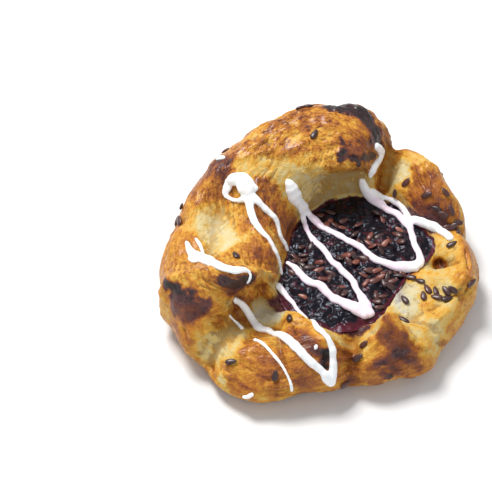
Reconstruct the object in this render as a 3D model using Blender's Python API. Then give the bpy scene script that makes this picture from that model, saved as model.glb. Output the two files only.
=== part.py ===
"""A round Danish pastry: a folded rim of flaky dough, a pool of dark berry filling, linseed and white icing.

Sizes are in millimetres and are scaled to metres when a mesh is made. +Z is up, the base lies on Z = 0,
+X is the right side and -Y the front. The rim is set out around the middle of the filling.
"""

import math
import random
from typing import NamedTuple

import bmesh
import bpy
import numpy as np
from mathutils import Matrix, Vector, noise
from mathutils.bvhtree import BVHTree

MM = 0.001

# The middle of the filling, which the rim goes round
POOL = (11.0, -4.3)
# The pastry is a little deeper than it is wide
DEPTH_STRETCH = 1.06
# Brings the middle of the finished pastry's box over the origin
TO_CENTRE = (0.5, 0.7)
BASE_TUCK = 6.0
BELLY_SHARE = 0.36
SHOULDER_IN = 0.28
# Where the inner wall bulges, as shares of the way from the shore to the lip, and how far it is hollowed
WALL_OUT = 0.36
WALL_UP = 0.58
HOLLOW = 1.0
SHORE_HEIGHT = 15.0
WELL_STEP = 4.0
WELL_FLOOR = 7.0
FILLING_GAP = 0.4
FILLING_EDGE = 1.1
FILLING_DOME = 1.6
LUMP_RISE = 0.7
LUMP_SIZE = 5.0
# 1 gives a pleat a knife edge, and 2 a round one
PLEAT_SHARPNESS = 1.4
DOUGH_LUMP_RISE = 0.8
DOUGH_LUMP_SIZE = 13.0

# How finely the solids are cut
AROUND = 84
BASE_RINGS = 1
PROFILE_STEPS = (2, 2, 2, 3, 3, 1, 1)
WELL_RINGS = 2
FILLING_RINGS = 5
# Fusing leaves edges shorter than this, which are merged
SLIVER = 0.01

SEED_LENGTH = 4.6
SEED_WIDTH = 2.4
SEED_THICKNESS = 1.3
SEED_SINK = 0.25
ICING_FLATNESS = 0.5
ICING_SINK = 0.12
ICING_STEP = 3.0
DRAPE_STEP = 0.4
DRAPE_SMOOTHING = 12
END_SHARE = 0.55
ICING_SIDES = 6
SHORE_CLEARANCE = 1.3


class Stop(NamedTuple):
    """The rim's section at one angle, seen from above and counted from the right."""

    angle: float
    reach: float
    crest_radius: float
    crest_height: float
    lip_radius: float
    lip_height: float
    shore_radius: float
    fullness: float = 0.68


RIM = (
    Stop(0, 47.5, 42.0, 20.0, 36.0, 18.0, 27.5),
    Stop(18, 48.5, 43.0, 21.0, 38.0, 19.5, 33.0),
    # Right back fold
    Stop(38, 51.0, 44.0, 28.5, 37.0, 24.0, 32.0),
    Stop(55, 53.5, 47.5, 31.0, 39.0, 24.5, 33.5),
    Stop(66.5, 55.0, 48.5, 31.0, 39.5, 21.5, 33.0),
    # High back fold with its blunt end, which leans over the filling
    Stop(73.5, 57.0, 47.5, 40.5, 36.0, 34.0, 32.0),
    Stop(82, 59.0, 49.0, 44.5, 29.0, 38.0, 32.0),
    Stop(97, 61.0, 50.0, 46.0, 26.5, 39.0, 30.5),
    Stop(115, 62.5, 50.5, 46.0, 28.0, 39.0, 27.5),
    Stop(135, 63.0, 52.0, 42.5, 35.0, 38.0, 26.0),
    # Left shoulder, with its broad hollow
    Stop(152, 66.0, 55.0, 39.0, 40.0, 35.5, 24.5),
    Stop(170, 69.5, 60.0, 30.5, 41.0, 30.5, 23.5),
    Stop(185, 71.5, 60.0, 30.0, 41.0, 31.5, 25.0),
    # Corner fold, pointing at the filling
    Stop(199, 71.0, 56.5, 33.0, 43.5, 33.0, 28.0),
    Stop(205, 70.5, 51.5, 34.0, 43.5, 34.0, 30.0, 0.62),
    Stop(209.5, 70.0, 48.5, 31.5, 43.0, 34.0, 30.5, 0.5),
    # Valley
    Stop(214.5, 68.0, 55.0, 20.0, 45.5, 18.0, 31.0, 0.55),
    Stop(222, 68.0, 58.5, 17.0, 48.0, 15.8, 31.8, 0.55),
    # Front left fold
    Stop(234, 65.5, 45.0, 21.0, 38.0, 20.0, 32.2, 0.5),
    Stop(250, 53.5, 43.0, 23.0, 38.0, 20.5, 32.0, 0.6),
    Stop(267, 47.5, 40.0, 18.5, 35.0, 17.0, 29.8),
    # Front right fold, a low peak
    Stop(279, 46.8, 38.0, 18.8, 33.5, 17.2, 27.6),
    Stop(289, 46.5, 34.8, 22.6, 31.4, 19.2, 27.5, 0.5),
    Stop(299, 47.8, 38.0, 18.4, 32.5, 16.6, 23.5, 0.6),
    Stop(320, 44.8, 39.0, 17.5, 30.0, 16.0, 20.5),
    Stop(340, 45.8, 40.5, 19.0, 33.0, 16.6, 20.5),
)


class Pleat(NamedTuple):
    """A ridge (or, where the rise is negative, a crease) of the dough between two places seen from above."""

    start: tuple
    end: tuple
    rise: float
    width: float


PLEATS = (
    # Between the high back fold and the right back fold
    Pleat((25.0, 30.0), (33.0, 48.0), -3.0, 3.0),
    # Over the right back fold
    Pleat((33.0, 27.0), (47.0, 33.0), 1.8, 5.0),
    Pleat((40.0, 21.0), (54.0, 19.0), 1.4, 5.0),
    # Right side, and its dimple
    Pleat((43.0, 10.0), (60.0, 8.0), -2.6, 3.2),
    Pleat((42.5, -4.2), (45.0, -4.4), -4.5, 3.0),
    Pleat((40.0, -13.0), (54.0, -15.0), 1.8, 3.6),
    Pleat((33.0, -29.0), (50.0, -21.0), -2.0, 3.0),
    # Both sides of the low peak
    Pleat((20.3, -38.0), (15.0, -43.5), 2.4, 2.4),
    Pleat((22.7, -38.0), (35.0, -44.0), 2.4, 2.4),
    Pleat((28.0, -30.0), (40.0, -36.0), -1.8, 2.6),
    Pleat((9.8, -33.0), (9.7, -53.0), -4.0, 3.2),
    # Front left fold
    Pleat((-13.0, -31.0), (-1.0, -45.0), 3.2, 3.6),
    Pleat((-18.0, -36.0), (-15.0, -54.0), -1.8, 3.0),
    # Valley under the corner fold
    Pleat((-19.0, -26.0), (-28.0, -32.0), -3.4, 3.2),
    Pleat((-28.0, -32.0), (-44.0, -50.0), -3.6, 4.0),
    # Corner fold's ridge and tip
    Pleat((-29.0, -26.5), (-55.0, -22.5), 3.2, 3.2),
    Pleat((-25.5, -27.0), (-30.0, -26.5), 2.6, 3.4),
    # Left shoulder: its hollow top and the ridge inside it
    Pleat((-37.0, 14.0), (-42.0, -9.0), -6.0, 9.0),
    Pleat((-27.0, 12.0), (-20.0, -9.0), 2.6, 5.0),
    # Outer wall at the back
    Pleat((-20.0, 49.0), (-26.0, 60.0), -2.4, 3.6),
    Pleat((6.0, 52.0), (8.0, 62.0), -2.0, 3.6),
    Pleat((-54.0, 8.0), (-64.0, 10.0), -2.0, 3.6),
)


class Strand(NamedTuple):
    """One run of icing: where it goes, seen from above, and how wide it is there."""

    places: tuple
    widths: tuple


ICING = {
    "tip": Strand(((20.5, 36.0), (23.5, 33.0), (23.0, 31.0), (21.5, 29.5)), (2.6, 3.4, 3.0, 2.0)),
    "right_sweep": Strand(
        ((18.5, 29.5), (21.0, 28.5), (25.0, 25.5), (28.0, 21.0), (32.0, 17.5), (34.0, 9.0), (36.0, 2.5),
         (37.0, -2.5), (35.5, -7.0)),
        (4.2, 4.6, 3.8, 3.6, 4.4, 3.2, 3.2, 3.6, 4.6),
    ),
    "right_loop": Strand(
        ((21.0, 28.5), (23.5, 29.0), (26.5, 29.0), (30.0, 26.5), (32.5, 24.0), (33.5, 21.5)),
        (2.6, 3.0, 3.0, 3.0, 3.2, 3.6),
    ),
    "right_branch": Strand(
        ((33.0, 22.0), (37.0, 17.0), (40.0, 13.5), (44.5, 11.0), (47.5, 7.5), (49.0, 3.5)),
        (4.0, 4.4, 4.4, 4.2, 3.8, 3.2),
    ),
    "upper_diagonal": Strand(
        ((36.5, -7.0), (30.0, -7.5), (24.0, -6.5), (19.5, -3.5), (15.5, 1.5), (11.5, 4.0), (6.5, 8.5),
         (-1.0, 15.5), (-6.0, 19.0), (-9.0, 17.5), (-11.5, 18.0), (-13.5, 20.0)),
        (5.4, 4.6, 3.4, 3.2, 3.2, 3.0, 3.2, 3.4, 2.8, 3.8, 5.4, 2.4),
    ),
    "middle_diagonal": Strand(
        ((-9.0, 17.5), (-5.5, 12.5), (-3.0, 6.5), (2.5, -1.5), (4.5, -6.0), (11.0, -14.0), (12.5, -19.0),
         (16.5, -28.5)),
        (4.2, 2.2, 2.6, 2.8, 2.8, 3.0, 3.0, 5.6),
    ),
    "lower_diagonal": Strand(
        ((16.0, -29.0), (12.5, -28.0), (8.0, -25.5), (3.5, -22.5), (-0.5, -17.0), (-4.0, -15.5),
         (-7.5, -12.0), (-10.0, -7.5), (-13.0, -4.5)),
        (5.6, 5.2, 4.4, 3.8, 3.4, 3.4, 3.2, 2.8, 2.0),
    ),
    "shoulder_ring": Strand(
        ((-34.0, 15.0), (-36.0, 18.0), (-35.0, 20.0), (-31.0, 20.5), (-27.0, 19.0), (-25.0, 15.5),
         (-26.5, 12.0), (-29.5, 12.0)),
        (1.6, 2.2, 3.0, 4.6, 6.0, 6.4, 5.4, 3.4),
    ),
    "shoulder_right": Strand(
        ((-24.5, 11.0), (-22.5, 8.5), (-18.0, 7.5), (-15.5, 3.0), (-12.0, 1.0)), (3.4, 2.8, 2.6, 2.4, 1.8)
    ),
    "shoulder_left": Strand(
        ((-26.5, 10.5), (-25.5, 5.0), (-23.5, 0.0), (-18.5, -6.0), (-14.5, -10.5)), (4.4, 3.6, 3.2, 2.8, 1.8)
    ),
    "front_right": Strand(
        ((-17.5, -16.0), (-15.5, -17.5), (-12.5, -22.5), (-9.5, -27.0), (-6.5, -31.5), (-3.5, -41.5),
         (0.0, -46.5), (2.0, -51.5), (1.0, -56.0)),
        (3.6, 3.4, 2.4, 2.0, 2.2, 2.6, 2.8, 3.2, 4.6),
    ),
    "front_left": Strand(
        ((1.0, -55.0), (-6.0, -53.0), (-9.0, -49.5), (-15.5, -41.5), (-19.5, -36.5), (-23.0, -35.0),
         (-25.5, -30.5), (-28.0, -28.5)),
        (4.4, 4.2, 4.4, 4.2, 4.0, 4.2, 3.8, 3.4),
    ),
    "corner": Strand(
        ((-50.0, -5.0), (-49.0, -8.5), (-46.0, -12.0), (-42.0, -18.5), (-38.5, -25.5), (-34.5, -27.5),
         (-30.5, -28.5)),
        (2.6, 4.4, 5.0, 4.8, 4.4, 3.6, 3.0),
    ),
    "thin_front": Strand(
        ((-25.5, -41.5), (-22.5, -44.5), (-20.0, -47.5), (-14.5, -53.5), (-13.0, -56.5)),
        (2.2, 1.6, 1.6, 1.5, 1.5),
    ),
    "thin_left": Strand(((-34.0, -32.5), (-31.0, -32.5), (-29.0, -35.5)), (1.5, 1.6, 2.0)),
}


class SeedPatch(NamedTuple):
    """Linseed scattered over a round patch seen from above."""

    centre: tuple
    radius: float
    count: int


RIM_SEEDS = (
    # High back fold
    SeedPatch((0.0, 33.5), 2.0, 1),
    SeedPatch((8.0, 47.0), 7.0, 3),
    SeedPatch((-14.0, 54.0), 6.0, 3),
    SeedPatch((-36.0, 36.0), 7.0, 2),
    # Right back fold
    SeedPatch((35.0, 28.0), 4.0, 2),
    SeedPatch((43.0, 20.0), 6.0, 5),
    SeedPatch((51.0, 14.0), 4.5, 4),
    SeedPatch((50.0, 3.0), 3.0, 2),
    # Right side
    SeedPatch((40.5, -19.5), 6.0, 8),
    SeedPatch((30.0, -31.0), 3.0, 1),
    SeedPatch((54.0, -11.0), 4.0, 2),
    # Front folds
    SeedPatch((14.0, -42.5), 3.6, 4),
    SeedPatch((22.0, -46.5), 4.0, 2),
    SeedPatch((-0.5, -46.0), 4.0, 3),
    SeedPatch((-9.5, -35.0), 3.0, 2),
    SeedPatch((-19.0, -51.0), 6.0, 2),
    SeedPatch((-35.0, -48.0), 5.0, 2),
    # Left side
    SeedPatch((-32.0, -18.5), 2.0, 1),
    SeedPatch((-55.0, -24.0), 6.0, 2),
    SeedPatch((-60.0, 3.0), 6.0, 2),
)
FILLING_SEEDS = (
    SeedPatch((14.0, -1.0), 10.0, 9),
    SeedPatch((27.0, -14.0), 9.0, 9),
    SeedPatch((0.0, -12.0), 9.0, 6),
    SeedPatch((13.0, -24.0), 8.0, 3),
    SeedPatch((8.0, 17.0), 8.0, 5),
    SeedPatch((28.0, 12.0), 8.0, 4),
)


def clear_scene():
    """Removes whatever the scene holds."""
    for found in list(bpy.data.objects):
        bpy.data.objects.remove(found, do_unlink=True)


def material(name, colour, roughness):
    """A plain finish: its base colour and how rough it is."""
    made = bpy.data.materials.new(name)
    made.use_nodes = True
    shader = made.node_tree.nodes["Principled BSDF"]
    shader.inputs["Base Color"].default_value = (*colour, 1.0)
    shader.inputs["Roughness"].default_value = roughness
    shader.inputs["Metallic"].default_value = 0.0
    return made


def smoothstep(low, high, value):
    """0 below low, 1 above high, and smooth in between."""
    share = np.clip((value - low) / (high - low), 0.0, 1.0)
    return share * share * (3.0 - 2.0 * share)


def around(field, angles):
    """One size of the rim at each angle in radians, on a closed curve that never overshoots the stops."""
    turn = 2.0 * math.pi
    stops = np.radians([stop.angle for stop in RIM])
    sizes = np.array([getattr(stop, field) for stop in RIM])
    stops = np.concatenate([stops - turn, stops, stops + turn])
    sizes = np.tile(sizes, 3)
    slopes = np.diff(sizes) / np.diff(stops)
    before, after = slopes[:-1], slopes[1:]
    same_way = before * after > 0
    total = np.where(same_way, before + after, 1.0)
    tangents = np.zeros_like(sizes)
    tangents[1:-1] = np.where(same_way, 2.0 * before * after / total, 0.0)
    place = np.searchsorted(stops, angles, side="right") - 1
    width = stops[place + 1] - stops[place]
    t = (angles - stops[place]) / width
    return (
        sizes[place] * (1 + 2 * t) * (1 - t) ** 2
        + sizes[place + 1] * t**2 * (3 - 2 * t)
        + tangents[place] * width * t * (1 - t) ** 2
        - tangents[place + 1] * width * t**2 * (1 - t)
    )


def smooth_curve(knots, steps):
    """Points on a smooth curve through the knots, which are (knot, angle, 2); steps has one count a span."""
    ends = (2 * knots[0] - knots[1], 2 * knots[-1] - knots[-2])
    p = np.concatenate([ends[:1], knots, ends[1:]])
    gaps = np.sqrt(np.maximum(np.linalg.norm(np.diff(p, axis=0), axis=2), 1e-6))
    at = np.concatenate([np.zeros((1, p.shape[1])), np.cumsum(gaps, axis=0)])[:, :, None]
    points = []
    for i, count in enumerate(steps, start=1):
        for step in range(count):
            t = at[i] + (at[i + 1] - at[i]) * step / count
            a1 = p[i - 1] + (p[i] - p[i - 1]) * (t - at[i - 1]) / (at[i] - at[i - 1])
            a2 = p[i] + (p[i + 1] - p[i]) * (t - at[i]) / (at[i + 1] - at[i])
            a3 = p[i + 1] + (p[i + 2] - p[i + 1]) * (t - at[i + 1]) / (at[i + 2] - at[i + 1])
            b1 = a1 + (a2 - a1) * (t - at[i - 1]) / (at[i + 1] - at[i - 1])
            b2 = a2 + (a3 - a2) * (t - at[i]) / (at[i + 2] - at[i])
            points.append(b1 + (b2 - b1) * (t - at[i]) / (at[i + 1] - at[i]))
    points.append(knots[-1])
    return np.array(points)


def rim_sections(angles):
    """The dough's sections (ring, angle, radius and height), from the base over the rim into the well."""
    reach = around("reach", angles)
    crest_radius = around("crest_radius", angles)
    crest_height = around("crest_height", angles)
    lip_radius = around("lip_radius", angles)
    lip_height = around("lip_height", angles)
    shore = around("shore_radius", angles)
    base = reach - BASE_TUCK
    belly = BELLY_SHARE * crest_height
    shoulder_radius = reach - SHOULDER_IN * (reach - crest_radius)
    shoulder_height = belly + around("fullness", angles) * (crest_height - belly)
    wall_radius = np.maximum(shore + WALL_OUT * (lip_radius - shore), shore + HOLLOW)
    wall_height = SHORE_HEIGHT + WALL_UP * (lip_height - SHORE_HEIGHT)
    knots = np.array(
        [
            (base, np.zeros_like(base)),
            (reach, belly),
            (shoulder_radius, shoulder_height),
            (crest_radius, crest_height),
            (lip_radius, lip_height),
            (wall_radius, wall_height),
            (shore, np.full_like(shore, SHORE_HEIGHT)),
            (shore - WELL_STEP, np.full_like(shore, WELL_FLOOR)),
        ]
    ).transpose(0, 2, 1)
    return smooth_curve(knots, PROFILE_STEPS)


def to_space(sections, angles):
    """Turns (ring, angle, radius and height) into points (ring, angle, x, y and z)."""
    x = POOL[0] + sections[:, :, 0] * np.cos(angles)
    y = POOL[1] + DEPTH_STRETCH * sections[:, :, 0] * np.sin(angles)
    return np.stack([x, y, sections[:, :, 1]], axis=2)


def pleat_rise(points):
    """How far the ridges and creases lift each point along its normal."""
    rise = np.zeros(len(points))
    for pleat in PLEATS:
        start, end = np.array(pleat.start), np.array(pleat.end)
        along = end - start
        share = ((points[:, :2] - start) @ along) / (along @ along)
        foot = start + np.clip(share, 0.0, 1.0)[:, None] * along
        distance = np.linalg.norm(points[:, :2] - foot, axis=1)
        rise += pleat.rise * np.exp(-((distance / pleat.width) ** PLEAT_SHARPNESS))
    return rise


def lump_rise(points, size, seed):
    """Soft unevenness between -1 and 1, with lumps about this size across."""
    shift = Vector((seed, 2.0 * seed, 3.0 * seed))
    return np.array([noise.noise(Vector(p) / size + shift) for p in points])


def ring_faces(rings, count):
    """Quads between rings of vertices that follow one another, each with the same count."""
    faces = []
    for ring in range(rings - 1):
        for i in range(count):
            j = (i + 1) % count
            a, b = ring * count, (ring + 1) * count
            faces.append((a + i, a + j, b + j, b + i))
    return faces


def closed_mesh(name, rings, first_pole, last_pole):
    """A closed mesh from rings (ring, point, 3) in millimetres, with a pole at each end."""
    count = rings.shape[1]
    points = [tuple(p * MM) for p in rings.reshape(-1, 3)]
    faces = ring_faces(len(rings), count)
    first, last = len(points), len(points) + 1
    points += [tuple(np.array(first_pole) * MM), tuple(np.array(last_pole) * MM)]
    end = (len(rings) - 1) * count
    for i in range(count):
        j = (i + 1) % count
        faces.append((first, j, i))
        faces.append((last, end + i, end + j))
    mesh = bpy.data.meshes.new(name)
    mesh.from_pydata(points, [], faces)
    mesh.update()
    return mesh


def link(name, mesh, finish):
    """An object for the mesh, with its finish."""
    made = bpy.data.objects.new(name, mesh)
    bpy.context.scene.collection.objects.link(made)
    mesh.materials.append(finish)
    return made


def dough_mesh(angles):
    """The bare dough, and the rings of its well from the filling's shore to the floor, in millimetres."""
    sections = rim_sections(angles)
    rings = to_space(sections, angles)
    shares = [(i + 1) / (BASE_RINGS + 1) for i in range(BASE_RINGS)]
    centre = np.array((*POOL, 0.0))
    base = [centre + (rings[0] - centre) * share for share in shares]
    floor_centre = np.array((*POOL, WELL_FLOOR))
    floor_shares = [1 - (i + 1) / (WELL_RINGS + 1) for i in range(WELL_RINGS)]
    floor = [floor_centre + (rings[-1] - floor_centre) * share for share in floor_shares]
    rings = np.concatenate([base, rings, floor])
    mesh = closed_mesh("dough", rings, centre, floor_centre)
    flat = rings.reshape(-1, 3)
    normals = np.array([n.vector[:] for n in mesh.vertex_normals])[: len(flat)]
    radius = np.hypot(flat[:, 0] - POOL[0], (flat[:, 1] - POOL[1]) / DEPTH_STRETCH)
    shore = np.tile(around("shore_radius", angles), len(rings))
    free = smoothstep(2.0, 9.0, flat[:, 2]) * smoothstep(0.0, 3.0, radius - shore)
    rise = pleat_rise(flat) + DOUGH_LUMP_RISE * lump_rise(flat, DOUGH_LUMP_SIZE, 4.0)
    flat = flat + normals * (rise * free)[:, None]
    for vertex, place in zip(mesh.vertices, flat):
        vertex.co = place * MM
    mesh.update()
    shore_ring = BASE_RINGS + sum(PROFILE_STEPS[:-1])
    return mesh, flat.reshape(rings.shape)[shore_ring:], normals.reshape(rings.shape)[shore_ring:]


def filling_mesh(well, normals):
    """The berry filling, which lies in the well with a small gap below it."""
    under = (well + FILLING_GAP * normals)[::-1]
    shore = under[-1]
    centre = np.array((*POOL, SHORE_HEIGHT))
    tops = []
    for i in range(FILLING_RINGS):
        share = 1.0 - (i / FILLING_RINGS) ** 1.1
        ring = centre + (shore - centre) * (share * (1.0 - 0.02))
        ring[:, 2] += FILLING_EDGE + FILLING_DOME * (1.0 - share**2)
        lumps = lump_rise(ring, LUMP_SIZE, 9.0)
        ring[:, 2] += LUMP_RISE * lumps * smoothstep(1.0, 0.8, np.full(len(ring), share))
        tops.append(ring)
    rings = np.concatenate([under, tops])
    floor_pole = (*POOL, WELL_FLOOR + FILLING_GAP)
    top_pole = (*POOL, SHORE_HEIGHT + FILLING_EDGE + FILLING_DOME)
    return closed_mesh("filling", rings, floor_pole, top_pole)


class Top:
    """The top of the dough and its filling seen from above, for laying seeds and icing on them."""

    def __init__(self, meshes):
        points, faces = [], []
        for mesh in meshes:
            mesh.calc_loop_triangles()
            faces += [[len(points) + i for i in t.vertices] for t in mesh.loop_triangles]
            points += [v.co.copy() for v in mesh.vertices]
        self.tree = BVHTree.FromPolygons(points, faces)

    def below(self, x, y):
        """The place and normal of the top at this place in millimetres, or None off the mesh."""
        place, normal, _, _ = self.tree.ray_cast(Vector((x * MM, y * MM, 0.2)), Vector((0.0, 0.0, -1.0)))
        return None if place is None else (place / MM, normal)


def shore_distance(x, y):
    """How far a place lies outside the filling's shore; negative inside it."""
    dx, dy = x - POOL[0], (y - POOL[1]) / DEPTH_STRETCH
    angle = math.atan2(dy, dx) % (2.0 * math.pi)
    return math.hypot(dx, dy) - float(around("shore_radius", np.array([angle]))[0])


def seed_mesh():
    """One linseed: a flat drop with a blunt and a pointed end, along X."""
    mesh = bpy.data.meshes.new("linseed")
    rings = []
    for share, size in ((-0.36, 0.66), (0.02, 1.0), (0.32, 0.62)):
        ring = []
        for i in range(6):
            turn = 2.0 * math.pi * i / 6
            ring.append(
                (
                    share * SEED_LENGTH * MM,
                    0.5 * size * SEED_WIDTH * math.cos(turn) * MM,
                    0.5 * size * SEED_THICKNESS * math.sin(turn) * MM,
                )
            )
        rings.append(ring)
    points = [p for ring in rings for p in ring]
    faces = ring_faces(3, 6)
    points += [(-0.5 * SEED_LENGTH * MM, 0.0, 0.0), (0.5 * SEED_LENGTH * MM, 0.0, 0.0)]
    for i in range(6):
        j = (i + 1) % 6
        faces.append((18, j, i))
        faces.append((19, 12 + i, 12 + j))
    mesh.from_pydata(points, [], faces)
    return mesh


def seed_places(patches, on_filling, draw):
    """Where the seeds of these patches lie: evenly spread, off the shore and clear of one another."""
    places = []
    for patch in patches:
        left = patch.count
        for _ in range(60 * patch.count):
            if not left:
                break
            turn, out = draw.uniform(0.0, 2.0 * math.pi), patch.radius * math.sqrt(draw.random())
            x = patch.centre[0] + out * math.cos(turn)
            y = patch.centre[1] + out * math.sin(turn)
            spin = draw.uniform(0.0, math.pi)
            beyond = shore_distance(x, y)
            off_shore = -beyond if on_filling else beyond
            crowded = any(math.hypot(x - a, y - b) < 0.62 * SEED_LENGTH for a, b, _ in places)
            if off_shore < 0.62 * SEED_LENGTH or crowded:
                continue
            places.append((x, y, spin))
            left -= 1
    return places


def lay_seeds(top, places, collection):
    """Lays a seed flat on the top at each place, sunk in a little."""
    for x, y, spin in places:
        hit = top.below(x, y)
        if hit is None or hit[1].z < 0.25:
            continue
        place, normal = hit
        turn = normal.to_track_quat("Z", "X").to_matrix().to_4x4() @ Matrix.Rotation(spin, 4, "Z")
        seed = bpy.data.objects.new("linseed", seed_mesh())
        seed.matrix_world = Matrix.Translation((place + normal * SEED_SINK) * MM) @ turn
        collection.objects.link(seed)


def drape(top, strand):
    """The strand laid on the top: places, normals and widths at even steps along it."""
    knots = np.array([(*p, w) for p, w in zip(strand.places, strand.widths)])[:, None, :]
    lengths = np.linalg.norm(np.diff(knots[:, 0, :2], axis=0), axis=1)
    steps = [max(2, round(length / DRAPE_STEP)) for length in lengths]
    hits = [(top.below(x, y), width) for x, y, width in smooth_curve(knots, steps)[:, 0]]
    hits = [(hit[0], hit[1], width) for hit, width in hits if hit is not None]
    places = np.array([place[:] for place, _, _ in hits])
    normals = np.array([normal[:] for _, normal, _ in hits])
    widths = np.array([width for _, _, width in hits])
    ground = places[:, 2].copy()
    for _ in range(DRAPE_SMOOTHING):
        for values in (places, normals):
            values[1:-1] = 0.25 * values[:-2] + 0.5 * values[1:-1] + 0.25 * values[2:]
        places[:, 2] = np.maximum(places[:, 2], ground - 0.1)
    gone = np.concatenate([[0.0], np.cumsum(np.linalg.norm(np.diff(places, axis=0), axis=1))])
    even = np.linspace(0.0, gone[-1], max(3, round(gone[-1] / ICING_STEP)))
    table = np.column_stack([places, normals, widths])
    return np.column_stack([np.interp(even, gone, column) for column in table.T])


def strand_runs(strip, on_filling):
    """The stretches of a draped strand that lie on the filling, or else on the dough."""
    runs, run = [], []
    for row in strip:
        beyond = shore_distance(row[0], row[1])
        clear = (-beyond if on_filling else beyond) - 0.5 * row[6]
        if clear > (SHORE_CLEARANCE if on_filling else 0.5 * SHORE_CLEARANCE):
            run.append(row)
            continue
        runs.append(run)
        run = []
    runs.append(run)
    return [r for r in runs if len(r) >= 3]


def strand_mesh(run):
    """A rounded ribbon of icing along the run, with blunt ends."""
    rings = []
    for i, row in enumerate(run):
        place, normal, width = row[:3], row[3:6], row[6]
        ahead = run[min(i + 1, len(run) - 1)][:3] - run[max(i - 1, 0)][:3]
        side = np.cross(ahead, normal)
        side /= np.linalg.norm(side)
        up = np.cross(side, ahead)
        up /= np.linalg.norm(up)
        half = 0.5 * width * (END_SHARE if i in (0, len(run) - 1) else 1.0)
        turns = 2.0 * math.pi * np.arange(ICING_SIDES)[:, None] / ICING_SIDES
        centre = place + up * (ICING_SINK * width)
        rings.append(centre + half * (side * np.cos(turns) + up * ICING_FLATNESS * np.sin(turns)))
    rings = np.array(rings)
    first = rings[0].mean(0) + 0.3 * (rings[0].mean(0) - rings[1].mean(0))
    last = rings[-1].mean(0) + 0.3 * (rings[-1].mean(0) - rings[-2].mean(0))
    return closed_mesh("icing", rings, first, last)


def lay_icing(top, on_filling, collection):
    """Lays every stretch of icing that belongs on this top."""
    for strand in ICING.values():
        for run in strand_runs(drape(top, strand), on_filling):
            collection.objects.link(bpy.data.objects.new("icing", strand_mesh(run)))


def facing_out(mesh):
    """Turns every face of a closed mesh outwards."""
    mesh.calc_loop_triangles()
    volume = 0.0
    for triangle in mesh.loop_triangles:
        a, b, c = (mesh.vertices[i].co for i in triangle.vertices)
        volume += a.dot(b.cross(c))
    if volume < 0:
        mesh.flip_normals()


def keep_largest(mesh):
    """Keeps the largest shell of a mesh, so that scraps are dropped and sealed hollows are filled."""
    work = bmesh.new()
    work.from_mesh(mesh)
    bmesh.ops.dissolve_degenerate(work, dist=SLIVER * MM, edges=work.edges[:])
    bmesh.ops.triangulate(work, faces=work.faces[:])
    left, shells = set(work.verts), []
    while left:
        shell, edge = set(), [left.pop()]
        while edge:
            vertex = edge.pop()
            shell.add(vertex)
            near = {e.other_vert(vertex) for e in vertex.link_edges} & left
            left -= near
            edge.extend(near)
        shells.append(shell)
    largest = max(shells, key=len)
    bmesh.ops.delete(work, geom=[v for v in work.verts if v not in largest], context="VERTS")
    work.to_mesh(mesh)
    work.free()


def fuse(core, collection):
    """Joins the collection's pieces to the core as one solid, then removes them."""
    for piece in collection.objects:
        facing_out(piece.data)
    union = core.modifiers.new("toppings", "BOOLEAN")
    union.operation = "UNION"
    union.operand_type = "COLLECTION"
    union.collection = collection
    union.solver = "MANIFOLD"
    bpy.context.view_layer.update()
    fused = bpy.data.meshes.new_from_object(core.evaluated_get(bpy.context.evaluated_depsgraph_get()))
    core.modifiers.clear()
    keep_largest(fused)
    fused.transform(Matrix.Translation((TO_CENTRE[0] * MM, TO_CENTRE[1] * MM, 0.0)))
    core.data = fused
    for piece in list(collection.objects):
        bpy.data.objects.remove(piece, do_unlink=True)
    bpy.data.collections.remove(collection)


def topped(name, mesh, finish, top, patches, on_filling, seed):
    """A layer of the pastry with the seeds and icing that lie on it."""
    core = link(name, mesh, finish)
    toppings = bpy.data.collections.new(name + "_toppings")
    bpy.context.scene.collection.children.link(toppings)
    lay_icing(top, on_filling, toppings)
    lay_seeds(top, seed_places(patches, on_filling, random.Random(seed)), toppings)
    fuse(core, toppings)
    return core


def main():
    """Builds the pastry as two solids: the dough, and the filling in its well."""
    clear_scene()
    crust = material("golden_crust", (0.62, 0.33, 0.09), 0.55)
    berry = material("dark_berry", (0.035, 0.012, 0.02), 0.25)
    angles = np.linspace(0.0, 2.0 * math.pi, AROUND, endpoint=False)
    dough, well, normals = dough_mesh(angles)
    filling = filling_mesh(well, normals)
    facing_out(dough)
    facing_out(filling)
    top = Top((dough, filling))
    topped("pastry", dough, crust, top, RIM_SEEDS, False, 11)
    topped("filling", filling, berry, top, FILLING_SEEDS, True, 23)


main()
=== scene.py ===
"""A round Danish pastry, dressed: baked flaky dough, a pool of dark berry filling, linseed and white icing.

The tables are in millimetres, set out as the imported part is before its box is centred: +Z is up, +X the
right side and -Y the front. A finished mesh is moved over the origin and scaled to metres.
"""

import logging
import math
import random
from dataclasses import dataclass, field
from enum import Enum
from typing import Any, Iterable, Sequence

import bmesh
import bpy
import numpy as np
from mathutils import Matrix, Vector, noise
from mathutils.bvhtree import BVHTree


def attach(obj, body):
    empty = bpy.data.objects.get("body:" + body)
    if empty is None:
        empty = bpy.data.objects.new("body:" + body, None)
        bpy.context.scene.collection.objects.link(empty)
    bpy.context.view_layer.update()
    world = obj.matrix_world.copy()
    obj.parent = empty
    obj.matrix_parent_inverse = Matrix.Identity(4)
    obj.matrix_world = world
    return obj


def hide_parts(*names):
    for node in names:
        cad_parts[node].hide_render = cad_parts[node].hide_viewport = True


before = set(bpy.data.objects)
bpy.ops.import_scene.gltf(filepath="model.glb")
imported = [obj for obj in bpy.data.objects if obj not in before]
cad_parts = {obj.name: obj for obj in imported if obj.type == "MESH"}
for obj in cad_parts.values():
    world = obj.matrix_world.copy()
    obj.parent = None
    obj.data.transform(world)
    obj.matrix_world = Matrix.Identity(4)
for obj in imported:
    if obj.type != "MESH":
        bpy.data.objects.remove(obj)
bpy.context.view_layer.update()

log = logging.getLogger("danish_pastry")

Point = tuple[float, float, float]
Colour = tuple[float, float, float]

MM = 0.001
BODY = "root"
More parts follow.
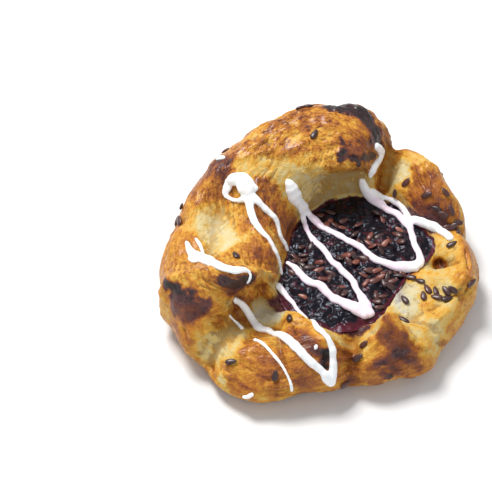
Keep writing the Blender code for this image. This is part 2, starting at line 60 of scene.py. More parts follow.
# Brings the middle of the pastry's box over the origin
CENTRING = (0.5, 0.7, 0.0)
# About how far the filling reaches from its middle
POOL_RADIUS = 30.0
# Turn a cell's middle into a number that looks random
LUCK_SHARES = (12.9898, 78.233, 37.719)
LUCK_SPREAD = 43758.5453


class Slot(Enum):
    """The record's slots, one of which is passed with each piece."""

    CRUST = "crust"
    FILLING = "filling"


class Node(Enum):
    """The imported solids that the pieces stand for."""

    DOUGH = "pastry"
    FILLING = "filling"


def smoothstep(low: float, high: float, value: np.ndarray) -> np.ndarray:
    """0 below low, 1 above high, and smooth in between."""
    share = np.clip((value - low) / (high - low), 0.0, 1.0)
    return share * share * (3.0 - 2.0 * share)


def unevenness(points: np.ndarray, size: float | Sequence[float], seed: float) -> np.ndarray:
    """Soft unevenness between about -1 and 1.

    Args:
        points: Places in millimetres, one a row.
        size: How far apart its lumps lie, for every axis or for each.
        seed: Picks one pattern out of many.

    Returns:
        One value for each point.
    """
    places = points / np.asarray(size) + np.array((seed, 2.0 * seed, 3.0 * seed))
    return np.array([noise.noise(place) for place in places.tolist()])


def cells(points: np.ndarray, size: float, seed: float) -> tuple[np.ndarray, np.ndarray]:
    """Splits space in rounded cells.

    Args:
        points: Places in millimetres, one a row.
        size: How far apart the cells' middles lie.
        seed: Picks one pattern out of many.

    Returns:
        How far each point is from the middle of its cell, in cells, and a number from 0 to 1 that looks
        random and is the same all over its cell.
    """
    places = points / size + np.array((seed, 2.0 * seed, 3.0 * seed))
    near, luck = [], []
    for place in places.tolist():
        distances, middles = noise.voronoi(place)
        near.append(math.sqrt(distances[0]) if distances[0] > 0 else 0.0)
        mixed = sum(share * along for share, along in zip(LUCK_SHARES, middles[0]))
        luck.append((math.sin(mixed) * LUCK_SPREAD) % 1.0)
    return np.array(near), np.array(luck)


def smooth_curve(knots: np.ndarray, steps: Sequence[int]) -> np.ndarray:
    """Points on smooth curves through the knots.

    Args:
        knots: One row for each knot, then one for each curve, then its numbers.
        steps: How many points each span between two knots gets.

    Returns:
        The points in the same layout, the last knot among them.
    """
    ends = (2 * knots[0] - knots[1], 2 * knots[-1] - knots[-2])
    p = np.concatenate([ends[0][None], knots, ends[1][None]])
    gaps = np.sqrt(np.maximum(np.linalg.norm(np.diff(p, axis=0), axis=2), 1e-6))
    at = np.concatenate([np.zeros((1, p.shape[1])), np.cumsum(gaps, axis=0)])[:, :, None]
    points = []
    for i, count in enumerate(steps, start=1):
        for step in range(count):
            t = at[i] + (at[i + 1] - at[i]) * step / count
            a1 = p[i - 1] + (p[i] - p[i - 1]) * (t - at[i - 1]) / (at[i] - at[i - 1])
            a2 = p[i] + (p[i + 1] - p[i]) * (t - at[i]) / (at[i + 1] - at[i])
            a3 = p[i + 1] + (p[i + 2] - p[i + 1]) * (t - at[i + 1]) / (at[i + 2] - at[i + 1])
            b1 = a1 + (a2 - a1) * (t - at[i - 1]) / (at[i + 1] - at[i - 1])
            b2 = a2 + (a3 - a2) * (t - at[i]) / (at[i + 2] - at[i])
            points.append(b1 + (b2 - b1) * (t - at[i]) / (at[i + 1] - at[i]))
    points.append(knots[-1])
    return np.array(points)


def span_distance(points: np.ndarray, start: Point, end: Point) -> np.ndarray:
    """How far each point lies from the straight line between two places."""
    a, along = np.array(start), np.array(end) - np.array(start)
    length = float(along @ along)
    share = np.clip((points - a) @ along / length, 0.0, 1.0) if length else np.zeros(len(points))
    return np.linalg.norm(points - a - share[:, None] * along, axis=1)


@dataclass(frozen=True)
class Stop:
    """The rim's section at one angle, seen from above and counted from the right."""

    angle: float
    reach: float
    crest_radius: float
    crest_height: float
    lip_radius: float
    lip_height: float
    shore_radius: float
    fullness: float = 0.68


STOPS = (
    Stop(0, 47.5, 42.0, 20.0, 36.0, 18.0, 27.5),
    Stop(18, 48.5, 43.0, 21.0, 38.0, 19.5, 33.0),
    # Right back fold
    Stop(38, 51.0, 44.0, 28.5, 37.0, 24.0, 32.0),
    Stop(55, 53.5, 47.5, 31.0, 39.0, 24.5, 33.5),
    Stop(66.5, 55.0, 48.5, 31.0, 39.5, 21.5, 33.0),
    # High back fold with its blunt end, which leans over the filling
    Stop(73.5, 57.0, 47.5, 40.5, 36.0, 34.0, 32.0),
    Stop(82, 59.0, 49.0, 44.5, 29.0, 38.0, 32.0),
    Stop(97, 61.0, 50.0, 46.0, 26.5, 39.0, 30.5),
    Stop(115, 62.5, 50.5, 46.0, 28.0, 39.0, 27.5),
    Stop(135, 63.0, 52.0, 42.5, 35.0, 38.0, 26.0),
    # Left shoulder, with its broad hollow
    Stop(152, 66.0, 55.0, 39.0, 40.0, 35.5, 24.5),
    Stop(170, 69.5, 60.0, 30.5, 41.0, 30.5, 23.5),
    Stop(185, 71.5, 60.0, 30.0, 41.0, 31.5, 25.0),
    # Corner fold, pointing at the filling
    Stop(199, 71.0, 56.5, 33.0, 43.5, 33.0, 28.0),
    Stop(205, 70.5, 51.5, 34.0, 43.5, 34.0, 30.0, 0.62),
    Stop(209.5, 70.0, 48.5, 31.5, 43.0, 34.0, 30.5, 0.5),
    # Valley
    Stop(214.5, 68.0, 55.0, 20.0, 45.5, 18.0, 31.0, 0.55),
    Stop(222, 68.0, 58.5, 17.0, 48.0, 15.8, 31.8, 0.55),
    # Front left fold
    Stop(234, 65.5, 45.0, 21.0, 38.0, 20.0, 32.2, 0.5),
    Stop(250, 53.5, 43.0, 23.0, 38.0, 20.5, 32.0, 0.6),
    Stop(267, 47.5, 40.0, 18.5, 35.0, 17.0, 29.8),
    # Front right fold, a low peak
    Stop(279, 46.8, 38.0, 18.8, 33.5, 17.2, 27.6),
    Stop(289, 46.5, 34.8, 22.6, 31.4, 19.2, 27.5, 0.5),
    Stop(299, 47.8, 38.0, 18.4, 32.5, 16.6, 23.5, 0.6),
    Stop(320, 44.8, 39.0, 17.5, 30.0, 16.0, 20.5),
    Stop(340, 45.8, 40.5, 19.0, 33.0, 16.6, 20.5),
)


@dataclass(frozen=True)
class Rim:
    """The form of the folded rim, set out around the middle of the filling."""

    pool: tuple[float, float] = (11.0, -4.3)
    stretch: float = 1.06
    base_tuck: float = 6.0
    belly_share: float = 0.36
    shoulder_in: float = 0.28
    wall_out: float = 0.36
    wall_up: float = 0.58
    hollow: float = 1.0
    shore_height: float = 15.0
    well_step: float = 4.0
    well_floor: float = 7.0

    def size(self, name: str, angles: np.ndarray) -> np.ndarray:
        """One size of the rim at each angle, on a closed curve that never overshoots the stops.

        Args:
            name: The stops' field.
            angles: Angles in radians, from 0 up to a full turn.

        Returns:
            The size at each angle, in millimetres.
        """
        turn = 2.0 * math.pi
        stops = np.radians([stop.angle for stop in STOPS])
        sizes = np.tile([getattr(stop, name) for stop in STOPS], 3)
        stops = np.concatenate([stops - turn, stops, stops + turn])
        slopes = np.diff(sizes) / np.diff(stops)
        before, after = slopes[:-1], slopes[1:]
        same_way = before * after > 0
        total = np.where(same_way, before + after, 1.0)
        tangents = np.zeros_like(sizes)
        tangents[1:-1] = np.where(same_way, 2.0 * before * after / total, 0.0)
        place = np.searchsorted(stops, angles, side="right") - 1
        width = stops[place + 1] - stops[place]
        t = (angles - stops[place]) / width
        return (
            sizes[place] * (1 + 2 * t) * (1 - t) ** 2
            + sizes[place + 1] * t**2 * (3 - 2 * t)
            + tangents[place] * width * t * (1 - t) ** 2
            - tangents[place + 1] * width * t**2 * (1 - t)
        )

    def sections(self, angles: np.ndarray, steps: Sequence[int]) -> np.ndarray:
        """The dough's sections, from the base's edge over the rim into the well.

        Args:
            angles: Angles in radians.
            steps: How many rings each of the section's seven spans gets.

        Returns:
            Places (ring, angle, 3) in millimetres.
        """
        reach, shore = self.size("reach", angles), self.size("shore_radius", angles)
        crest_radius, crest_height = self.size("crest_radius", angles), self.size("crest_height", angles)
        lip_radius, lip_height = self.size("lip_radius", angles), self.size("lip_height", angles)
        belly = self.belly_share * crest_height
        shoulder = belly + self.size("fullness", angles) * (crest_height - belly)
        wall = np.maximum(shore + self.wall_out * (lip_radius - shore), shore + self.hollow)
        level = np.ones_like(shore)
        knots = np.array(
            [
                (reach - self.base_tuck, 0.0 * level),
                (reach, belly),
                (reach - self.shoulder_in * (reach - crest_radius), shoulder),
                (crest_radius, crest_height),
                (lip_radius, lip_height),
                (wall, self.shore_height + self.wall_up * (lip_height - self.shore_height)),
                (shore, self.shore_height * level),
                (shore - self.well_step, self.well_floor * level),
            ]
        )
        flat = smooth_curve(knots.transpose(0, 2, 1), steps)
        return self.placed(flat[:, :, 0], angles, flat[:, :, 1])

    def placed(self, radius: np.ndarray, angles: np.ndarray, height: np.ndarray) -> np.ndarray:
        """Places from radii, angles and heights round the middle of the filling."""
        x = self.pool[0] + radius * np.cos(angles)
        y = self.pool[1] + self.stretch * radius * np.sin(angles)
        return np.stack([x, y, height], axis=-1)

    def middle(self, height: float) -> np.ndarray:
        """The place at this height over the middle of the filling."""
        return np.array((*self.pool, height))

    def beyond_shore(self, points: np.ndarray) -> np.ndarray:
        """How far each place lies outside the filling's shore; negative inside it."""
        dx, dy = points[:, 0] - self.pool[0], (points[:, 1] - self.pool[1]) / self.stretch
        angles = np.arctan2(dy, dx) % (2.0 * math.pi)
        return np.hypot(dx, dy) - self.size("shore_radius", angles)

    def even_angles(self, count: int) -> np.ndarray:
        """Angles that share the crest's whole length out evenly."""
        fine = np.linspace(0.0, 2.0 * math.pi, 3601)
        crest = self.placed(self.size("crest_radius", fine), fine, self.size("crest_height", fine))
        gone = np.concatenate([[0.0], np.cumsum(np.linalg.norm(np.diff(crest, axis=0), axis=1))])
        return np.interp(np.arange(count) / count * gone[-1], gone, fine)


@dataclass(frozen=True)
class Pleat:
    """A ridge (or, with a negative rise, a crease) of the dough between two places seen from above."""

    start: tuple[float, float]
    end: tuple[float, float]
    rise: float
    width: float


PLEATS = (
    # Between the high back fold and the right back fold
    Pleat((25.0, 30.0), (33.0, 48.0), -3.0, 3.0),
    # Over the right back fold
    Pleat((33.0, 27.0), (47.0, 33.0), 1.8, 5.0),
    Pleat((40.0, 21.0), (54.0, 19.0), 1.4, 5.0),
    # Right side, and its dimple
    Pleat((43.0, 10.0), (60.0, 8.0), -2.6, 3.2),
    Pleat((42.5, -4.2), (45.0, -4.4), -4.5, 3.0),
    Pleat((40.0, -13.0), (54.0, -15.0), 1.8, 3.6),
    Pleat((33.0, -29.0), (50.0, -21.0), -2.0, 3.0),
    # Both sides of the low peak
    Pleat((20.3, -38.0), (15.0, -43.5), 2.4, 2.4),
    Pleat((22.7, -38.0), (35.0, -44.0), 2.4, 2.4),
    Pleat((28.0, -30.0), (40.0, -36.0), -1.8, 2.6),
    Pleat((9.8, -33.0), (9.7, -53.0), -4.0, 3.2),
    # Front left fold
    Pleat((-13.0, -31.0), (-1.0, -45.0), 3.2, 3.6),
    Pleat((-18.0, -36.0), (-15.0, -54.0), -1.8, 3.0),
    # Valley under the corner fold
    Pleat((-19.0, -26.0), (-28.0, -32.0), -3.4, 3.2),
    Pleat((-28.0, -32.0), (-44.0, -50.0), -3.6, 4.0),
    # Corner fold's ridge and tip
    Pleat((-29.0, -26.5), (-55.0, -22.5), 3.2, 3.2),
    Pleat((-25.5, -27.0), (-30.0, -26.5), 2.6, 3.4),
    # Left shoulder: its hollow top and the ridge inside it
    Pleat((-37.0, 14.0), (-42.0, -9.0), -6.0, 9.0),
    Pleat((-27.0, 12.0), (-20.0, -9.0), 2.6, 5.0),
    # Outer wall at the back
    Pleat((-20.0, 49.0), (-26.0, 60.0), -2.4, 3.6),
    Pleat((6.0, 52.0), (8.0, 62.0), -2.0, 3.6),
    Pleat((-54.0, 8.0), (-64.0, 10.0), -2.0, 3.6),
)


@dataclass(frozen=True)
class Crease:
    """A narrow wrinkle of the baked skin between two places; a negative rise makes it a groove."""

    start: Point
    end: Point
    rise: float
    width: float


CREASES = (
    # Short pleats at the high fold's lip
    Crease((1.5, 29.5, 43.0), (0.0, 24.5, 40.5), -0.55, 0.6),
    Crease((3.0, 29.0, 43.0), (2.0, 24.0, 40.0), -0.55, 0.6),
    Crease((4.5, 28.5, 42.5), (4.0, 24.0, 40.0), -0.55, 0.6),
    Crease((6.0, 27.5, 42.0), (5.5, 23.5, 39.5), -0.5, 0.6),
    # Along the high fold
    Crease((-33.5, 31.5, 39.0), (-20.0, 36.0, 44.0), -0.5, 0.9),
    Crease((-26.5, 29.5, 42.0), (-8.0, 39.0, 45.5), 0.5, 1.0),
    Crease((-20.0, 30.0, 42.5), (0.5, 37.5, 46.0), -0.45, 0.9),
    Crease((-15.5, 26.5, 41.0), (-1.0, 32.5, 44.5), 0.4, 1.0),
    Crease((-7.5, 42.5, 45.5), (5.0, 42.0, 46.5), 0.5, 1.1),
    Crease((-30.5, 26.0, 40.0), (-17.5, 28.5, 42.0), 0.6, 1.2),
    # Facet and tip of the corner fold
    Crease((-25.0, -26.0, 36.0), (-19.0, -17.0, 22.0), 0.9, 0.9),
    Crease((-27.0, -17.5, 30.5), (-28.0, -27.0, 38.5), -0.6, 1.0),
    Crease((-27.0, -29.0, 32.0), (-30.5, -27.5, 21.5), -0.7, 1.0),
    Crease((-22.5, -24.0, 25.0), (-24.0, -26.0, 18.0), -0.6, 0.9),
    # Sharp edges of the corner fold, and the hollows under them
    Crease((-54.0, -22.5, 27.0), (-41.0, -25.5, 33.0), 1.1, 1.6),
    Crease((-41.0, -25.5, 33.0), (-28.0, -28.0, 37.0), 1.3, 1.5),
    Crease((-25.5, -26.7, 36.1), (-21.8, -21.1, 27.4), 1.7, 1.1),
    Crease((-21.8, -21.1, 27.4), (-17.3, -15.2, 19.4), 1.7, 1.1),
    Crease((-17.3, -16.2, 19.4), (-19.5, -21.8, 19.0), 1.5, 1.2),
    Crease((-26.5, -28.7, 31.0), (-22.5, -22.5, 23.0), -1.5, 1.5),
    Crease((-22.1, -25.0, 17.6), (-25.8, -27.6, 18.5), -1.4, 1.4),
    Crease((-54.0, -30.5, 23.0), (-41.0, -34.5, 26.0), 0.9, 1.6),
    Crease((-41.0, -35.0, 26.0), (-34.0, -33.0, 22.0), 0.8, 1.4),
    # Edges of the front left fold
    Crease((-29.5, -39.0, 16.5), (-33.0, -52.0, 11.0), 1.3, 1.6),
    Crease((-31.5, -38.0, 15.5), (-36.0, -50.0, 12.0), -1.2, 1.4),
    Crease((-16.0, -33.0, 19.5), (-10.5, -41.0, 23.0), 1.0, 1.4),
    Crease((-26.5, -28.7, 34.0), (-32.5, -31.0, 25.0), 1.4, 1.1),
    Crease((-45.5, -37.0, 21.0), (-39.5, -40.5, 15.0), 0.9, 1.2),
    Crease((-50.0, -37.5, 17.0), (-44.0, -42.5, 11.0), -0.8, 1.0),
    # Folds of the low peak
    Crease((21.9, -37.5, 24.8), (26.7, -43.4, 20.6), 1.4, 1.1),
    Crease((26.7, -43.4, 20.1), (31.5, -46.5, 14.5), 1.3, 1.1),
    Crease((21.2, -37.5, 24.8), (17.1, -45.0, 18.4), 1.2, 1.1),
    Crease((18.5, -37.5, 21.5), (14.5, -44.5, 17.8), -0.9, 1.2),
    Crease((25.5, -36.5, 21.0), (31.5, -43.0, 18.0), -0.9, 1.2),
    # Fine wrinkles that spread from the dimple
    Crease((44.3, -3.0, 14.3), (45.0, -4.6, 14.3), -3.4, 1.5),
    Crease((46.5, -3.0, 16.0), (51.0, -2.0, 19.0), 0.7, 0.7),
    Crease((46.0, -6.0, 15.5), (50.5, -8.0, 19.0), -0.6, 0.6),
    Crease((44.0, -7.0, 14.5), (47.0, -13.0, 18.0), 0.7, 0.7),
    Crease((42.5, -7.0, 14.8), (43.5, -13.0, 17.5), -0.6, 0.6),
    Crease((44.0, -1.5, 16.5), (44.5, 3.0, 17.0), -0.6, 0.6),
    Crease((39.0, -9.0, 15.0), (46.5, -17.5, 18.5), 0.6, 0.9),
    Crease((37.0, -13.5, 16.0), (46.0, -21.5, 16.5), -0.6, 0.9),
    Crease((35.5, -18.0, 16.0), (44.0, -25.5, 15.5), 0.6, 0.9),
    Crease((33.5, -22.5, 15.5), (41.0, -31.0, 17.0), -0.5, 0.9),
    Crease((44.5, 0.5, 17.0), (50.0, -7.5, 19.5), -0.5, 0.8),
    Crease((46.0, -6.0, 14.5), (50.5, -16.5, 19.5), 0.6, 0.9),
    Crease((41.0, 3.0, 16.5), (49.5, 0.0, 19.0), -0.5, 0.6),
    Crease((40.0, 1.0, 16.5), (48.5, -1.5, 18.5), -0.5, 0.6),
    # Open seam down the right side
    Crease((53.5, -3.0, 20.0), (54.0, -10.5, 19.5), -1.1, 0.7),
    Crease((54.0, -10.5, 19.5), (52.0, -18.0, 16.0), -1.1, 0.7),
    Crease((50.0, -22.5, 15.5), (53.5, -17.5, 16.5), -0.6, 0.8),
    # Crinkled wall at the front right
    Crease((37.0, -43.5, 19.0), (44.0, -37.0, 7.0), -0.7, 0.9),
    Crease((35.5, -45.5, 16.0), (41.0, -46.5, 10.0), -0.6, 0.8),
    Crease((40.0, -38.0, 15.5), (45.0, -35.0, 9.5), 0.6, 0.9),
    Crease((30.5, -45.0, 18.0), (35.5, -46.0, 15.5), -0.6, 0.8),
    # Facet of the low peak
    Crease((23.0, -39.0, 23.5), (25.0, -46.0, 18.0), 0.7, 0.9),
    Crease((27.0, -38.0, 22.0), (34.0, -44.0, 18.5), -0.7, 0.9),
    Crease((15.5, -42.0, 23.0), (11.5, -46.5, 16.0), -0.5, 0.9),
    # Front left wall
    Crease((-6.0, -56.5, 13.5), (-0.5, -55.0, 15.0), 0.6, 1.0),
    Crease((-14.5, -48.5, 19.0), (-9.5, -55.5, 16.5), 0.5, 1.2),
    Crease((-22.5, -46.5, 18.5), (-16.5, -54.0, 16.0), -0.5, 1.0),
    Crease((-30.5, -50.0, 15.0), (-20.0, -57.0, 14.0), -0.8, 0.8),
    Crease((-0.5, -50.5, 21.0), (0.5, -54.5, 15.0), -1.6, 0.9),
    Crease((-11.5, -39.0, 21.0), (-10.5, -43.0, 22.0), -1.2, 0.6),
    # Left wall and foot
    Crease((-48.0, -38.5, 18.0), (-44.5, -42.5, 12.0), 0.7, 1.1),
    Crease((-56.5, 0.0, 23.0), (-58.5, -8.0, 20.0), -0.7, 1.0),
    Crease((-53.5, 1.5, 26.0), (-55.5, -6.5, 25.0), 0.7, 1.0),
    Crease((-50.0, -15.0, 28.0), (-56.5, -15.0, 23.5), -0.6, 1.0),
    Crease((-55.5, -17.5, 25.5), (-39.5, -29.0, 33.5), -0.6, 1.0),
    # Right back fold
    Crease((32.5, 30.5, 24.0), (44.5, 28.0, 28.5), 0.5, 1.2),
    Crease((34.5, 23.0, 23.0), (49.0, 11.0, 20.0), -0.5, 1.0),
    Crease((39.5, 23.0, 26.5), (51.0, 13.0, 22.0), 0.4, 1.2),
)


@dataclass(frozen=True)
class Bake:
    """How brown the skin is along a line: 0 is raw and pale, 0.45 golden, 0.7 brown and 1 burnt black."""

    start: Point
    end: Point
    radius: float
    level: float
    softness: float = 1.0


BAKES = (
    # High back fold
    Bake((-37.0, 29.0, 37.5), (-26.5, 32.5, 42.0), 2.5, 0.56),
    Bake((-22.0, 32.5, 43.0), (3.5, 32.5, 44.5), 6.0, 0.43),
    Bake((-9.0, 45.5, 44.5), (3.5, 39.0, 46.0), 3.5, 0.53),
    Bake((-19.0, 37.0, 44.0), (-14.0, 38.5, 45.0), 2.5, 0.56),
    Bake((-6.0, 36.0, 45.0), (-3.5, 38.5, 46.0), 2.0, 0.58),
    Bake((-14.5, 28.5, 42.0), (-9.5, 28.5, 43.0), 2.0, 0.52),
    Bake((-27.5, 30.5, 42.0), (-22.0, 32.0, 43.0), 2.0, 0.55),
    Bake((-26.5, 23.0, 39.0), (-3.5, 22.5, 39.5), 3.0, 0.34),
    Bake((0.0, 28.0, 42.5), (5.5, 25.5, 41.0), 3.0, 0.38),
    Bake((4.0, 23.0, 38.5), (21.5, 30.5, 29.5), 2.0, 0.48),
    # Its blunt end, burnt along the top and down the side
    Bake((10.5, 30.0, 42.5), (18.5, 32.0, 40.5), 3.8, 0.69),
    Bake((4.0, 48.5, 45.5), (17.5, 45.0, 45.0), 3.2, 0.93),
    Bake((17.7, 43.3, 44.7), (22.0, 37.8, 38.4), 2.8, 0.94),
    Bake((22.0, 37.8, 38.4), (23.5, 38.0, 33.9), 2.0, 0.94),
    Bake((8.3, 28.2, 42.3), (7.9, 25.8, 41.0), 1.2, 0.95),
    Bake((7.9, 25.8, 41.0), (14.1, 26.3, 38.9), 1.3, 0.94),
    Bake((14.1, 26.3, 38.9), (20.9, 33.5, 34.1), 1.5, 0.94),
    Bake((8.0, 31.5, 44.0), (8.0, 30.5, 43.5), 1.0, 0.96),
    # Inner wall of the high fold, hardly baked
    Bake((-12.0, 20.0, 35.0), (13.0, 30.5, 21.0), 6.0, 0.20),
    Bake((2.5, 26.0, 20.0), (17.0, 30.0, 18.0), 3.0, 0.20),
    # Left shoulder and its hollow
    Bake((-46.5, 20.0, 30.5), (-37.2, 24.8, 36.8), 5.0, 0.74, 0.6),
    Bake((-30.0, 22.8, 38.2), (-18.0, 22.5, 38.4), 2.6, 0.29),
    Bake((-49.5, 18.0, 28.0), (-40.0, 17.5, 32.0), 4.5, 0.56),
    Bake((-41.0, 4.5, 26.0), (-35.5, -4.5, 28.5), 7.0, 0.15),
    Bake((-56.0, 6.0, 24.0), (-58.0, -8.0, 20.0), 3.5, 0.50),
    Bake((-32.0, 10.0, 30.0), (-30.5, -1.5, 29.0), 2.5, 0.36),
    Bake((-23.5, 19.0, 36.5), (-20.0, 18.0, 35.5), 0.9, 0.62, 0.7),
    Bake((-21.0, 13.5, 33.0), (-12.5, 5.0, 17.5), 6.0, 0.58),
    Bake((-12.5, 10.0, 22.0), (-7.0, 10.0, 16.5), 4.0, 0.64),
    Bake((-24.0, 5.5, 31.0), (-18.5, -9.0, 26.5), 3.0, 0.58),
    Bake((-25.5, -11.5, 29.5), (-19.0, -13.5, 24.0), 4.5, 0.60),
    # Corner fold
    Bake((-55.5, -15.0, 24.5), (-39.5, -28.0, 34.5), 2.5, 0.42),
    Bake((-35.5, -29.0, 34.0), (-28.5, -29.3, 32.5), 2.6, 0.84, 0.7),
    Bake((-34.5, -31.0, 28.5), (-31.0, -29.5, 29.0), 2.2, 0.78, 0.7),
    Bake((-28.0, -29.0, 36.5), (-27.0, -29.0, 35.5), 1.5, 0.97),
    Bake((-42.0, -29.5, 31.8), (-37.0, -32.0, 28.0), 1.8, 0.42),
    Bake((-53.0, -29.5, 24.0), (-42.0, -33.4, 26.6), 3.0, 0.83, 0.6),
    Bake((-49.5, -34.0, 24.0), (-44.0, -34.8, 24.0), 3.2, 0.84, 0.6),
    Bake((-53.0, -31.9, 20.8), (-49.0, -35.5, 21.5), 2.4, 0.80, 0.6),
    Bake((-56.0, -24.5, 26.5), (-51.5, -28.5, 27.5), 1.8, 1.0),
    Bake((-48.5, -30.5, 28.0), (-47.0, -31.0, 28.5), 1.7, 1.0),
    Bake((-41.0, -37.5, 21.0), (-35.0, -32.5, 24.0), 2.6, 0.36),
    Bake((-31.0, -27.5, 20.5), (-22.5, -24.5, 22.0), 3.5, 0.52),
    Bake((-37.0, -52.5, 9.0), (-33.0, -55.0, 7.0), 1.8, 0.20, 0.7),
    # Left foot and the pale valley
    Bake((-53.0, -34.5, 13.5), (-46.0, -42.0, 13.5), 4.5, 0.52),
    Bake((-41.0, -42.0, 13.0), (-33.0, -44.0, 15.5), 5.0, 0.20),
    Bake((-37.5, -39.5, 15.5), (-31.0, -37.0, 15.8), 4.5, 0.24),
    Bake((-44.0, -37.0, 19.0), (-39.0, -36.5, 19.5), 2.4, 0.40),
    Bake((-22.0, -28.0, 15.5), (-17.5, -29.5, 16.5), 4.0, 0.06),
    # Front left fold
    Bake((-26.0, -47.5, 17.5), (-19.0, -55.0, 15.5), 4.5, 0.54),
    Bake((-31.5, -55.0, 9.0), (-18.0, -59.0, 11.0), 3.0, 0.58),
    Bake((-11.0, -52.5, 18.5), (-4.0, -56.0, 15.0), 4.0, 0.55),
    Bake((-13.0, -42.0, 21.0), (-4.0, -50.0, 22.0), 3.0, 0.62),
    Bake((-7.5, -44.5, 23.0), (-4.0, -50.0, 22.0), 2.0, 0.77),
    Bake((-0.5, -50.5, 20.5), (0.0, -53.5, 17.0), 1.4, 0.98),
    # Front valley and the low peak
    Bake((6.0, -46.5, 17.5), (8.5, -52.5, 9.0), 3.5, 0.56),
    Bake((2.0, -43.5, 20.0), (9.5, -41.5, 17.0), 2.4, 0.24),
    Bake((9.5, -41.5, 17.0), (17.5, -39.0, 20.0), 2.4, 0.22),
    Bake((22.0, -39.5, 23.5), (22.5, -42.4, 21.2), 1.6, 0.70, 0.5),
    Bake((21.0, -34.0, 18.5), (22.5, -36.5, 21.0), 2.4, 0.16, 0.6),
    Bake((20.5, -43.0, 21.0), (26.5, -45.0, 18.5), 3.4, 0.74, 0.5),
    Bake((24.0, -48.0, 16.0), (28.5, -49.0, 13.5), 3.0, 0.79),
    Bake((18.5, -51.0, 15.0), (21.0, -51.0, 14.0), 1.0, 0.98),
    Bake((20.0, -53.0, 10.5), (22.5, -52.5, 9.5), 1.5, 0.95),
    Bake((10.5, -52.0, 9.5), (16.5, -53.5, 9.5), 3.0, 0.62),
    Bake((18.0, -50.0, 13.0), (31.0, -48.5, 9.5), 2.8, 0.76, 0.6),
    Bake((12.9, -40.9, 17.8), (19.3, -37.0, 22.0), 2.2, 0.26, 0.6),
    Bake((27.5, -37.0, 21.0), (37.0, -43.5, 17.0), 2.8, 0.25, 0.6),
    Bake((14.0, -40.0, 21.0), (17.0, -39.0, 23.5), 2.0, 0.26),
    Bake((27.0, -50.5, 11.0), (33.0, -50.0, 10.0), 2.0, 0.64),
    # Right side
    Bake((37.0, -43.0, 16.0), (43.0, -38.0, 10.0), 4.0, 0.33),
    Bake((30.5, -31.0, 14.5), (40.0, -36.0, 15.5), 4.0, 0.20),
    Bake((27.0, -15.0, 16.0), (28.5, -24.0, 15.8), 4.0, 0.02),
    Bake((32.5, -17.0, 16.0), (32.0, -26.0, 15.0), 3.0, 0.10),
    Bake((40.0, -13.0, 18.0), (46.5, -27.0, 16.5), 5.0, 0.24),
    Bake((56.0, 11.0, 13.0), (55.0, -10.0, 19.0), 3.0, 0.52),
    Bake((53.5, -18.0, 15.0), (48.0, -31.0, 13.5), 2.0, 0.44),
    Bake((41.0, 0.5, 17.0), (40.5, -5.0, 16.0), 3.0, 0.10),
    Bake((41.0, 4.0, 17.0), (46.5, -11.0, 17.0), 4.5, 0.28),
    # Painted shade: the dimple's pit is darkened with a dark-brown bake
    Bake((44.2, -2.8, 13.6), (44.8, -4.0, 13.2), 1.2, 0.74),
    Bake((39.5, 4.0, 16.6), (41.0, 0.0, 16.6), 1.8, 0.44),
    # Right back fold
    Bake((30.0, 33.0, 24.0), (40.0, 34.0, 27.0), 4.5, 0.16),
    Bake((38.0, 23.5, 26.0), (47.5, 14.0, 23.5), 5.0, 0.62),
    Bake((38.0, 18.0, 23.0), (46.5, 12.5, 22.5), 2.8, 0.80, 0.7),
    Bake((38.5, 31.5, 28.5), (44.0, 25.0, 28.5), 3.0, 0.56),
    Bake((49.0, 5.0, 19.0), (53.5, 9.5, 17.5), 3.0, 0.36),
    # Back, seen only from behind
    Bake((-20.0, 52.0, 30.0), (-6.0, 55.0, 34.0), 4.0, 0.60),
    Bake((-44.0, 40.0, 24.0), (-36.0, 45.0, 30.0), 4.0, 0.56),
    Bake((14.0, 55.0, 26.0), (20.0, 54.0, 34.0), 3.0, 0.70),
    Bake((-30.0, 52.0, 18.0), (-24.0, 56.0, 24.0), 4.0, 0.30),
    Bake((38.0, 44.0, 22.0), (44.0, 38.0, 24.0), 3.0, 0.74),
    Bake((-60.0, 14.0, 16.0), (-58.0, 22.0, 22.0), 3.0, 0.62),
)


@dataclass(frozen=True)
class Stain:
    """Where the filling has coloured the dough beyond its shore."""

    start: Point
    end: Point
    radius: float
    strength: float


STAINS = (
    Stain((-1.0, -37.0, 16.0), (14.5, -35.5, 16.0), 2.6, 0.95),
    Stain((27.0, -22.0, 16.0), (30.5, -13.0, 16.0), 2.2, 0.36),
    Stain((39.0, -1.0, 16.5), (40.5, -6.0, 16.0), 2.2, 0.26),
    Stain((32.0, -14.5, 16.0), (33.0, -15.5, 16.0), 1.4, 0.45),
    Stain((33.0, 19.0, 17.0), (44.0, 12.5, 19.0), 3.2, 0.90),
    Stain((37.0, 2.0, 16.0), (41.0, 3.0, 16.5), 2.0, 0.65),
    Stain((-20.0, -20.0, 16.0), (-11.0, -31.0, 16.0), 2.6, 0.75),
    Stain((-12.0, -34.0, 18.0), (-7.0, -40.0, 21.0), 1.6, 0.60),
)


